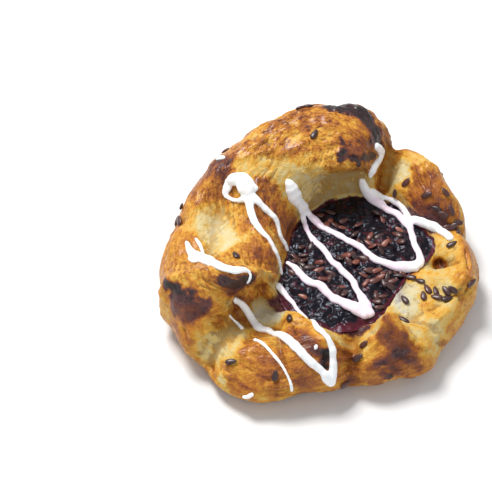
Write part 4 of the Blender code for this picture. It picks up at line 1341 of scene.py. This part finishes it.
RIM_LINSEED = (
    # High back fold
    Patch((-2.3, 33.7, 44.7), 0.0, 1, 62.0),
    Patch((-3.7, 48.6, 44.9), 0.5, 1, 5.0),
    Patch((-6.5, 47.0, 44.5), 0.5, 1, 20.0),
    Patch((-14.0, 54.0, 33.0), 6.0, 3),
    Patch((-36.0, 42.0, 31.0), 7.0, 3),
    Patch((8.0, 57.0, 28.0), 6.0, 3),
    # Right back fold
    Patch((34.3, 27.5, 24.9), 0.3, 1, 30.0),
    Patch((30.0, 26.8, 20.7), 0.3, 1, 40.0),
    Patch((41.1, 20.0, 26.6), 0.3, 1, 15.0),
    Patch((44.0, 15.7, 23.9), 0.3, 1, 150.0),
    Patch((46.6, 13.8, 22.6), 0.3, 1, 150.0),
    Patch((49.5, 14.7, 23.8), 0.3, 1, 110.0),
    Patch((47.3, 19.7, 27.9), 0.3, 1, 130.0),
    Patch((50.5, 10.0, 19.5), 2.5, 4),
    Patch((49.1, 2.0, 18.8), 0.3, 1, 20.0),
    Patch((52.0, 34.0, 20.0), 6.0, 4),
    # Right side
    Patch((32.4, -12.3, 16.6), 0.3, 1, 160.0),
    Patch((36.3, -14.6, 15.9), 0.4, 1, 150.0),
    Patch((38.0, -18.0, 16.0), 1.2, 2, 110.0),
    Patch((37.5, -21.0, 16.0), 1.0, 2),
    Patch((41.0, -20.5, 16.5), 1.6, 2),
    Patch((44.1, -19.8, 16.9), 1.0, 1, 120.0),
    Patch((47.0, -19.4, 17.5), 0.6, 1, 140.0),
    Patch((45.0, -22.6, 15.7), 0.6, 1, 20.0),
    Patch((53.6, -15.7, 16.5), 1.0, 1, 60.0),
    Patch((29.4, -22.6, 15.7), 0.5, 1, 120.0),
    # Front folds
    Patch((28.8, -30.6, 14.8), 0.3, 1, 140.0),
    Patch((13.0, -44.4, 18.2), 0.3, 1, 10.0),
    Patch((14.6, -45.6, 19.0), 0.3, 1, 150.0),
    Patch((11.6, -48.2, 14.9), 0.4, 1, 20.0),
    Patch((5.8, -54.3, 8.6), 0.5, 1, 20.0),
    Patch((-17.5, -55.6, 15.0), 0.4, 1, 80.0),
    Patch((-12.0, -35.0, 20.7), 0.5, 2),
    # Left side
    Patch((-32.7, -49.5, 14.3), 0.3, 1, 5.0),
    Patch((-31.5, -15.0, 31.5), 0.3, 1, 110.0),
    Patch((-57.0, 12.0, 22.0), 6.0, 3),
    Patch((-60.0, -12.0, 12.0), 4.0, 1),
)
FILLING_LINSEED = (
    Patch((2.0, 18.0, 17.0), 4.0, 4),
    Patch((10.0, 10.0, 17.5), 6.0, 5),
    Patch((19.0, 3.0, 17.5), 6.0, 8),
    Patch((11.0, -3.0, 18.0), 5.0, 7),
    Patch((-4.0, 0.0, 17.0), 5.0, 3),
    Patch((-9.0, -6.0, 16.5), 5.0, 7),
    Patch((0.0, -10.0, 17.0), 5.0, 5),
    Patch((8.0, -18.0, 17.0), 4.0, 3),
    Patch((-7.5, -22.0, 16.5), 3.0, 1),
    Patch((19.0, -12.0, 17.5), 5.0, 6),
    Patch((27.0, -13.0, 17.0), 6.0, 9),
    Patch((23.0, -24.0, 17.0), 5.0, 4),
    Patch((28.0, 8.0, 17.0), 5.0, 4),
    Patch((24.0, 18.0, 17.0), 5.0, 2),
)


@dataclass
class Linseed:
    """Flat drop-shaped seeds, strewn over the rim and half sunk in the filling."""

    rim: Rim
    ground: Ground
    length: float = 4.6
    width: float = 2.4
    thickness: float = 1.3
    around: int = 12
    rings: int = 9
    # How near two seeds' middles may lie, as a share of their length
    crowding: float = 0.5
    # How far a seed in the filling keeps from the icing and from the shore
    clearance: float = 1.8
    inshore: float = 1.5
    tries: int = 80
    # How much narrower the pointed end is, and what its few facets add to its width
    taper: float = 0.42
    fullness: float = 0.56
    bedding: float = 1.8
    # How far a seed lies tilted, in degrees
    wet_tilt: float = 24.0
    dry_tilt: float = 9.0
    bare: Ball = field(init=False)
    thing: bpy.types.Object = field(init=False)

    def build(self) -> None:
        """Strews the seeds and joins them as one piece."""
        draw = random.Random(29)
        self.bare = Ball("linseed", self.around, self.rings)
        seeds = []
        taken: list[Vector] = []
        for patches, wet in ((RIM_LINSEED, False), (FILLING_LINSEED, True)):
            for patch in patches:
                for place, spin in self._places(patch, wet, draw, taken):
                    seeds.append(self._seed(place, spin, wet, draw))
        bpy.data.objects.remove(self.bare.thing)
        select_only(*seeds)
        bpy.ops.object.join()
        self.thing = bpy.context.object
        self.thing.name = self.thing.data.name = "linseed"

    def _places(
        self, patch: Patch, wet: bool, draw: random.Random, taken: list[Vector]
    ) -> Iterable[tuple[Vector, float]]:
        """Places on the top within a patch that no other seed has taken, and each seed's turn in radians."""
        middle, normal = self.ground.nearest(patch.centre)
        side = normal.orthogonal().normalized()
        other = normal.cross(side)
        left = patch.count
        for _ in range(self.tries * patch.count):
            if not left:
                return
            turn, out = draw.uniform(0.0, 2.0 * math.pi), patch.radius * math.sqrt(draw.random())
            place, _ = self.ground.nearest(middle + out * (side * math.cos(turn) + other * math.sin(turn)))
            spin = math.radians(patch.spin) if patch.spin is not None else draw.uniform(0.0, math.pi)
            beyond = self.rim.beyond_shore(np.array([place]))[0]
            crowded = any((place - one).length < self.crowding * self.length for one in taken)
            if crowded or wet and (beyond > -self.inshore or self._under_icing(place)):
                continue
            taken.append(place)
            left -= 1
            yield place, spin

    def _under_icing(self, place: Vector) -> bool:
        """Whether a seed there would poke through the icing."""
        spans = [span for strand in STRANDS for span in zip(strand.places, strand.places[1:])]
        flat = np.array([(place.x, place.y, 0.0)])
        return any(span_distance(flat, (*a[:2], 0.0), (*b[:2], 0.0))[0] < self.clearance for a, b in spans)

    def _seed(self, place: Vector, spin: float, wet: bool, draw: random.Random) -> bpy.types.Object:
        """One seed laid on the top.

        Args:
            place: Where it lies.
            spin: Which way it points, counted from the right as seen from above.
            wet: Whether it lies in the filling.
            draw: Where its size, tilt and tone come from.

        Returns:
            The seed, with its tone on each vertex.
        """
        seed = self.bare.another()
        shares = np.linspace(-0.5, 0.5, self.rings + 2)[1:-1]
        # Blunt at one end and drawn out to a point at the other
        girth = np.sqrt(1.0 - (2.0 * shares) ** 2) * (1.0 - self.taper * (shares + 0.5) ** 1.6)
        turns = 2.0 * math.pi * np.arange(self.around) / self.around
        size = draw.uniform(0.88, 1.1)
        wide, thick = self.width * draw.uniform(0.88, 1.08), self.thickness * draw.uniform(0.85, 1.1)
        grid = np.stack(
            np.broadcast_arrays(
                self.length * shares[:, None],
                self.fullness * wide * girth[:, None] * np.cos(turns),
                self.fullness * thick * girth[:, None] * np.sin(turns),
            ),
            axis=-1,
        )
        half = 0.5 * self.length
        points = self.bare.spread(grid, np.array((-half, 0.0, 0.0)), np.array((half, 0.0, 0.0)))
        normal = self.ground.soft_normal(place, self.bedding)
        ahead = Vector((math.cos(spin), math.sin(spin), 0.0))
        ahead = (ahead - normal * ahead.dot(normal)).normalized()
        turned = Matrix((ahead, normal.cross(ahead), normal)).transposed()
        tilt = self.wet_tilt if wet else self.dry_tilt
        for axis in "XY":
            turned = turned @ Matrix.Rotation(math.radians(draw.uniform(-tilt, tilt)), 3, axis)
        lift = draw.uniform(-0.1, 0.35) if wet else draw.uniform(0.2, 0.45)
        middle = place + normal * lift * self.thickness
        set_places(seed, size * points @ np.array(turned).T + np.array(middle))
        tone = draw.uniform(0.06, 1.0) ** 1.2 if wet else draw.uniform(0.10, 0.50)
        carry(seed, "tone", np.full(len(points), tone))
        return seed


@dataclass(frozen=True)
class Strand:
    """One run of icing: the places that it crosses on the top, and how wide it is there."""

    name: str
    places: tuple[Point, ...]
    widths: tuple[float, ...]


STRANDS = (
    Strand(
        "tip",
        (
            (20.8, 35.5, 37.9), (23.1, 37.3, 34.1), (24.5, 38.3, 30.5), (23.6, 36.4, 29.2),
            (22.0, 33.9, 29.9), (20.7, 31.5, 30.1), (19.9, 30.1, 28.8), (19.3, 29.6, 26.7),
        ),
        (3.0, 3.4, 3.0, 2.8, 3.2, 3.6, 2.8, 1.6),
    ),
    Strand(
        "right_sweep",
        (
            (16.7, 30.3, 25.4), (17.9, 29.8, 21.0), (20.4, 28.6, 17.6), (24.0, 25.4, 16.4),
            (27.2, 21.5, 16.5), (30.8, 18.3, 16.3), (33.8, 15.2, 16.5), (34.7, 10.9, 16.4),
            (35.3, 4.4, 16.8), (36.7, -0.4, 16.6), (37.0, -4.3, 16.4), (35.1, -7.0, 15.9),
        ),
        (2.2, 3.6, 4.6, 3.8, 3.2, 3.4, 3.6, 2.8, 2.6, 2.6, 3.2, 4.0),
    ),
    Strand(
        "right_loop",
        (
            (19.7, 29.2, 20.6), (22.1, 29.3, 19.0), (25.0, 28.6, 17.0), (27.9, 27.1, 17.1),
            (30.9, 25.0, 17.1), (32.9, 22.6, 16.5), (34.3, 19.8, 15.6), (34.0, 16.8, 16.2),
        ),
        (2.2, 2.0, 1.9, 2.2, 2.7, 2.7, 2.9, 3.1),
    ),
    Strand(
        "right_branch",
        (
            (33.0, 17.2, 16.4), (36.8, 16.5, 16.6), (40.1, 13.5, 18.0), (44.2, 11.5, 17.5),
            (47.8, 7.1, 18.3), (49.3, 3.9, 19.0),
        ),
        (3.3, 3.6, 3.6, 3.4, 3.1, 2.6),
    ),
    Strand(
        "upper_diagonal",
        (
            (36.4, -6.9, 16.7), (30.2, -7.6, 16.9), (24.0, -6.3, 17.4), (19.3, -3.6, 17.9),
            (15.4, 1.3, 18.1), (11.5, 3.8, 17.9), (6.6, 8.7, 17.6), (2.6, 12.0, 16.9),
            (-1.1, 15.7, 16.7), (-3.5, 18.5, 17.5), (-6.1, 18.9, 22.6), (-8.6, 17.7, 25.8),
            (-10.2, 18.1, 29.6), (-11.5, 19.0, 33.0), (-12.9, 19.8, 35.4),
        ),
        (4.8, 4.0, 3.0, 2.8, 2.8, 2.6, 2.8, 2.8, 3.0, 2.6, 3.0, 4.4, 5.6, 4.0, 1.4),
    ),
    Strand(
        "middle_diagonal",
        (
            (-8.9, 17.4, 25.9), (-7.0, 17.9, 21.1), (-5.8, 16.5, 16.5), (-5.0, 12.5, 16.4),
            (-3.0, 6.7, 17.1), (-0.2, 2.5, 17.3), (2.4, -1.3, 17.4), (4.3, -6.0, 17.6),
            (7.4, -10.3, 17.5), (10.9, -14.0, 17.5), (12.5, -18.9, 17.6), (14.4, -24.0, 17.4),
            (17.3, -31.0, 16.6),
        ),
        (3.7, 2.6, 2.1, 1.9, 2.3, 2.5, 2.5, 2.5, 2.6, 2.6, 2.6, 3.6, 3.6),
    ),
    Strand(
        "lower_diagonal",
        (
            (16.6, -30.6, 16.7), (12.9, -28.4, 16.9), (8.2, -25.4, 17.5), (3.6, -22.5, 16.9),
            (1.2, -20.0, 17.1), (-0.6, -17.0, 17.2), (-4.2, -15.4, 17.3), (-7.3, -12.1, 17.1),
            (-10.1, -7.4, 16.7), (-12.9, -4.3, 15.6),
        ),
        (4.9, 4.6, 3.9, 3.3, 3.2, 3.0, 3.0, 2.8, 2.5, 1.8),
    ),
    Strand(
        "shoulder_right",
        (
            (-26.2, 12.4, 34.6), (-22.3, 9.6, 31.8), (-18.4, 7.8, 28.2), (-16.2, 5.6, 24.9),
            (-15.4, 3.0, 22.3), (-13.0, 2.1, 17.2), (-12.1, 1.1, 15.6),
        ),
        (3.0, 2.6, 2.3, 2.2, 2.0, 1.9, 1.3),
    ),
    Strand(
        "shoulder_left",
        (
            (-26.9, 11.5, 34.2), (-25.9, 5.6, 31.1), (-23.5, 0.2, 29.6), (-20.2, -3.8, 28.0),
            (-18.3, -6.2, 25.7), (-17.0, -8.4, 21.4), (-15.3, -8.9, 17.8), (-14.5, -10.5, 15.6),
        ),
        (3.4, 2.8, 2.5, 2.3, 2.2, 2.0, 1.9, 1.4),
    ),
    Strand(
        "shoulder_ring",
        (
            (-35.2, 17.0, 31.0), (-34.8, 18.7, 32.8), (-33.3, 19.4, 34.5), (-31.3, 19.4, 35.9),
            (-29.2, 18.4, 36.0), (-28.0, 16.2, 35.4), (-27.2, 13.9, 35.0), (-26.8, 11.0, 33.9),
        ),
        (2.4, 3.0, 3.6, 4.6, 6.0, 6.4, 6.0, 4.2),
    ),
    Strand(
        "ring_end",
        (
            (-27.2, 11.5, 34.0), (-29.0, 11.6, 32.9), (-31.4, 12.1, 31.5),
        ),
        (3.0, 2.6, 1.8),
    ),
    Strand(
        "ring_lobe",
        (
            (-26.6, 15.9, 35.7), (-24.9, 14.9, 35.3), (-23.6, 14.6, 34.8),
        ),
        (3.6, 3.0, 2.0),
    ),
    Strand(
        "ring_left_lobe",
        (
            (-33.5, 18.8, 33.8), (-35.5, 17.0, 31.0), (-35.3, 15.6, 30.0),
        ),
        (3.0, 3.0, 1.9),
    ),
    Strand(
        "ring_bridge",
        (
            (-35.2, 16.2, 30.3), (-33.8, 13.8, 30.7), (-31.2, 12.2, 31.7),
        ),
        (2.0, 1.5, 1.8),
    ),
    Strand(
        "ring_top_lobe",
        (
            (-33.0, 19.6, 34.8), (-34.4, 20.9, 34.4), (-35.3, 20.3, 33.0),
        ),
        (2.4, 1.8, 1.4),
    ),
    Strand(
        "front_right",
        (
            (-17.3, -16.2, 17.9), (-15.4, -17.7, 16.3), (-12.3, -22.3, 16.8), (-9.7, -27.1, 16.9),
            (-6.7, -31.3, 16.4), (-4.8, -36.5, 19.5), (-3.3, -41.4, 23.4), (-0.1, -46.4, 24.2),
            (1.7, -48.7, 21.5), (2.2, -51.5, 18.1), (2.2, -54.1, 14.5), (1.0, -56.6, 10.2),
        ),
        (3.0, 2.8, 2.0, 1.6, 1.8, 2.0, 2.1, 2.3, 2.5, 2.6, 3.0, 3.9),
    ),
    Strand(
        "front_left",
        (
            (1.0, -56.4, 11.4), (-1.8, -54.6, 16.1), (-5.8, -52.8, 19.2), (-9.2, -49.7, 21.0),
            (-12.6, -45.2, 20.8), (-15.4, -41.6, 19.4), (-19.7, -36.6, 15.9), (-23.2, -35.1, 15.5),
            (-25.4, -31.3, 15.2), (-27.9, -28.6, 17.6), (-30.0, -28.2, 20.5), (-32.0, -29.0, 24.4),
        ),
        (3.1, 2.9, 2.9, 3.1, 3.1, 2.9, 2.8, 2.9, 2.8, 2.7, 2.4, 1.8),
    ),
    Strand(
        "corner",
        (
            (-49.8, -4.8, 27.5), (-48.6, -8.1, 27.4), (-46.3, -12.0, 27.7), (-43.2, -14.5, 28.6),
            (-39.9, -19.9, 32.5), (-37.3, -24.9, 36.4), (-34.2, -26.8, 37.8), (-31.0, -28.2, 38.1),
            (-28.6, -27.8, 38.5), (-26.4, -27.8, 36.6),
        ),
        (1.4, 2.6, 4.4, 5.2, 4.2, 3.4, 2.6, 2.4, 2.2, 1.4),
    ),
    Strand(
        "corner_wisp",
        (
            (-46.4, -3.0, 27.1), (-45.2, -5.8, 26.8), (-43.8, -8.4, 26.4), (-43.6, -12.6, 27.4),
        ),
        (1.1, 1.6, 1.4, 2.0),
    ),
    Strand(
        "corner_smear",
        (
            (-48.6, -12.6, 27.7), (-46.6, -15.4, 28.8), (-43.6, -16.0, 29.4),
        ),
        (1.4, 2.4, 2.6),
    ),
    Strand(
        "corner_crumb",
        (
            (-26.9, -27.9, 36.9), (-26.5, -28.4, 35.2), (-27.4, -29.1, 33.8),
        ),
        (1.5, 1.2, 1.0),
    ),
    Strand(
        "thin_front",
        (
            (-25.5, -41.3, 17.7), (-22.4, -44.7, 19.3), (-19.9, -47.4, 18.5), (-17.3, -50.6, 17.7),
            (-14.7, -53.7, 16.1), (-13.0, -56.7, 14.3), (-12.1, -58.5, 10.1),
        ),
        (1.8, 1.3, 1.3, 1.3, 1.2, 1.2, 1.3),
    ),
    Strand(
        "thin_left",
        (
            (-33.9, -32.5, 19.4), (-31.2, -32.3, 15.6), (-29.0, -35.7, 15.5),
        ),
        (1.2, 1.3, 1.6),
    ),
    Strand(
        "left_drip",
        (
            (-28.5, -58.4, 7.7), (-26.8, -59.2, 8.2), (-25.1, -59.1, 9.8),
        ),
        (1.5, 1.9, 1.6),
    ),
    Strand(
        "back_spot",
        (
            (-39.2, 29.8, 35.5), (-37.6, 29.3, 37.0), (-35.7, 27.8, 38.4),
        ),
        (1.8, 2.2, 1.6),
    ),
    Strand(
        "front_drop",
        (
            (-4.4, -48.9, 22.6), (-3.8, -49.1, 22.5), (-3.2, -49.4, 22.4),
        ),
        (1.6, 2.2, 1.6),
    ),
)


@dataclass
class Icing:
    """Runs of thick icing, draped over the pastry and grown together where they meet."""

    rim: Rim
    ground: Ground
    step: float = 0.5
    around: int = 14
    height: float = 0.38
    sink: float = 0.06
    tightening: int = 8
    voxel: float = 0.36
    # A little more than half, for what melting together takes off
    fullness: float = 0.54
    # How strongly the width varies over how many millimetres
    variation: tuple[tuple[float, float], ...] = ((0.24, 5.0), (0.16, 2.2))
    route_step: float = 0.3
    bedding: float = 2.0
    thing: bpy.types.Object = field(init=False)

    def build(self) -> None:
        """Lays every run, joins them and melts them together."""
        runs = [self._run(strand, number) for number, strand in enumerate(STRANDS)]
        select_only(*runs)
        bpy.ops.object.join()
        self.thing = bpy.context.object
        self.thing.name = self.thing.data.name = "icing"
        melted = self.thing.modifiers.new("melted", "REMESH")
        melted.mode = "VOXEL"
        melted.voxel_size = self.voxel
        bpy.ops.object.modifier_apply(modifier=melted.name)
        softened = self.thing.modifiers.new("softened", "SMOOTH")
        softened.factor = 0.5
        softened.iterations = 4
        bpy.ops.object.modifier_apply(modifier=softened.name)
        beyond = self.rim.beyond_shore(places_of(self.thing))
        low = smoothstep(24.0, 20.0, places_of(self.thing)[:, 2])
        carry(self.thing, "tinge", smoothstep(0.5, -2.5, beyond) * low)

    def _run(self, strand: Strand, number: int) -> bpy.types.Object:
        """One run of icing as a rounded ribbon.

        Args:
            strand: Its route and widths.
            number: Picks its unevenness.

        Returns:
            The ribbon, in millimetres.
        """
        places, normals, widths = self._draped(strand)
        ahead = np.gradient(places, axis=0)
        ahead /= np.maximum(np.linalg.norm(ahead, axis=1), 1e-6)[:, None]
        side = np.cross(ahead, normals)
        side /= np.linalg.norm(side, axis=1)[:, None]
        up = np.cross(side, ahead)
        gone = np.arange(len(places)) * self.step
        along = np.stack([gone, np.zeros_like(gone), np.zeros_like(gone)], axis=1)
        uneven = 1.0
        for (share, size), seed in zip(self.variation, (41.0, 71.0)):
            uneven = uneven + share * unevenness(along, size, seed + number)
        half = self.fullness * widths * uneven
        # Round ends
        left = np.minimum(gone, gone[-1] - gone)
        half *= np.sqrt(1.0 - (1.0 - np.clip((left + 0.15) / np.maximum(half, 0.5), 0.0, 1.0)) ** 2)
        turns = 2.0 * math.pi * np.arange(self.around) / self.around
        across, raised = np.cos(turns)[None, :, None], np.sin(turns)[None, :, None]
        raised = np.where(raised > 0, raised * 2.0 * self.height, raised * self.height)
        wide = half[:, None, None]
        centre = (places + up * (self.sink * half)[:, None])[:, None, :]
        rings = centre + wide * (side[:, None, :] * across + up[:, None, :] * raised)
        ball = Ball(strand.name, self.around, len(rings))
        set_places(ball.thing, ball.spread(rings[:, ::-1], places[:1], places[-1:]))
        return ball.thing

    def _draped(self, strand: Strand) -> tuple[np.ndarray, np.ndarray, np.ndarray]:
        """The strand's route at even steps on the top, the normals there and its widths."""
        knots = np.array([(*place, width) for place, width in zip(strand.places, strand.widths)])[:, None, :]
        spans = np.linalg.norm(np.diff(knots[:, 0, :3], axis=0), axis=1)
        rough = smooth_curve(knots, [max(2, round(length / self.route_step)) for length in spans])[:, 0]
        gone = np.concatenate([[0.0], np.cumsum(np.linalg.norm(np.diff(rough[:, :3], axis=0), axis=1))])
        even = np.linspace(0.0, gone[-1], max(5, round(gone[-1] / self.step)))
        rough = np.column_stack([np.interp(even, gone, column) for column in rough.T])
        hits = [self.ground.nearest(place) for place in rough[:, :3].tolist()]
        places = np.array([hit[0] for hit in hits])
        normals = np.array([self.ground.soft_normal(hit[0], self.bedding) for hit in hits])
        for _ in range(self.tightening):
            for values in (places, normals):
                values[1:-1] = 0.25 * values[:-2] + 0.5 * values[1:-1] + 0.25 * values[2:]
            for i, place in enumerate(places.tolist()):
                found, normal = self.ground.nearest(place)
                if (Vector(place) - found).dot(normal) < 0.0:
                    places[i] = found
        normals /= np.linalg.norm(normals, axis=1)[:, None]
        return places, normals, rough[:, 3]


@dataclass(frozen=True)
class Lamp:
    """A square soft light that faces the pastry."""

    name: str
    place: Point
    size: float
    power: float
    colour: Colour

    def build(self) -> None:
        """Hangs the lamp."""
        data = bpy.data.lights.new(self.name, "AREA")
        data.size = self.size
        data.energy = self.power
        data.color = self.colour
        lamp = bpy.data.objects.new(self.name, data)
        bpy.context.scene.collection.objects.link(lamp)
        lamp.location = self.place
        lamp.rotation_mode = "QUATERNION"
        lamp.rotation_quaternion = (-Vector(self.place)).to_track_quat("-Z", "Y")


LAMPS = (
    Lamp("key", (-0.30, 0.36, 0.84), size=0.34, power=10.5, colour=(1.0, 0.985, 0.96)),
    Lamp("front", (0.25, -0.75, 0.55), size=0.6, power=1.3, colour=(0.96, 0.98, 1.0)),
)


@dataclass
class Studio:
    """A pale floor, soft light from above and a camera that looks down from the front.

    Its aim is in millimetres on the tables' own places, and everything else in metres.
    """

    elevation: float = 48.0
    distance: float = 0.5
    aim: Point = (-27.9, 18.0, 0.0)
    frame_width: float = 0.1934
    sensor: float = 36.0
    floor_size: float = 6.0
    sky: Colour = (0.93, 0.965, 1.0)
    sky_strength: float = 0.48

    def build(self) -> None:
        """Sets up the floor, the lights and the camera."""
        self._floor()
        self._camera()
        self._sky()
        for lamp in LAMPS:
            lamp.build()
        bpy.context.scene.view_settings.view_transform = "Standard"

    def _floor(self) -> None:
        """A wide pale floor just under the pastry."""
        bpy.ops.object.select_all(action="DESELECT")
        bpy.ops.mesh.primitive_plane_add(size=self.floor_size, location=(0.0, 0.0, 0.0))
        floor = bpy.context.object
        floor.name = "floor"
        graph = Graph("pale_floor")
        shade = graph.mottle(40.0, 2.0)
        floor.data.materials.append(
            graph.finish(
                Base_Color=graph.mix(shade.above(-1.0, 1.0), (0.80, 0.80, 0.80), (0.84, 0.84, 0.84)),
                Roughness=0.7,
            )
        )

    def _camera(self) -> None:
        """The camera at the photograph's viewing angle."""
        tilt = math.radians(self.elevation)
        ahead = Vector((0.0, math.cos(tilt), -math.sin(tilt)))
        data = bpy.data.cameras.new("camera")
        data.sensor_width = self.sensor
        data.lens = self.sensor * self.distance / self.frame_width
        data.clip_start = 0.01
        camera = bpy.data.objects.new("camera", data)
        bpy.context.scene.collection.objects.link(camera)
        camera.location = (Vector(self.aim) + Vector(CENTRING)) * MM - self.distance * ahead
        camera.rotation_mode = "QUATERNION"
        camera.rotation_quaternion = ahead.to_track_quat("-Z", "Y")
        bpy.context.scene.camera = camera

    def _sky(self) -> None:
        """Even pale light from all round."""
        world = bpy.data.worlds.new("studio")
        world.use_nodes = True
        background = world.node_tree.nodes["Background"]
        background.inputs["Color"].default_value = (*self.sky, 1.0)
        background.inputs["Strength"].default_value = self.sky_strength
        bpy.context.scene.world = world


def main() -> None:
    """Builds the pastry's pieces in order, dresses them and sets up the studio."""
    logging.basicConfig(level=logging.INFO, format="%(name)s %(message)s")
    rim = Rim()
    dough = Dough(rim)
    dough.build()
    filling = Filling(rim, dough)
    filling.build()
    ground = Ground(dough.thing, filling.thing)
    linseed = Linseed(rim, ground)
    linseed.build()
    icing = Icing(rim, ground)
    icing.build()
    hand_over(dough.thing, CrustFinish().material(), Slot.CRUST, Node.DOUGH)
    hand_over(filling.thing, FillingFinish().material(), Slot.FILLING, Node.FILLING)
    hand_over(linseed.thing, LinseedFinish().material(), Slot.CRUST, Node.DOUGH, Node.FILLING)
    hand_over(icing.thing, IcingFinish().material(), Slot.CRUST, Node.DOUGH, Node.FILLING)
    Studio().build()


if __name__ == "__main__":
    main()
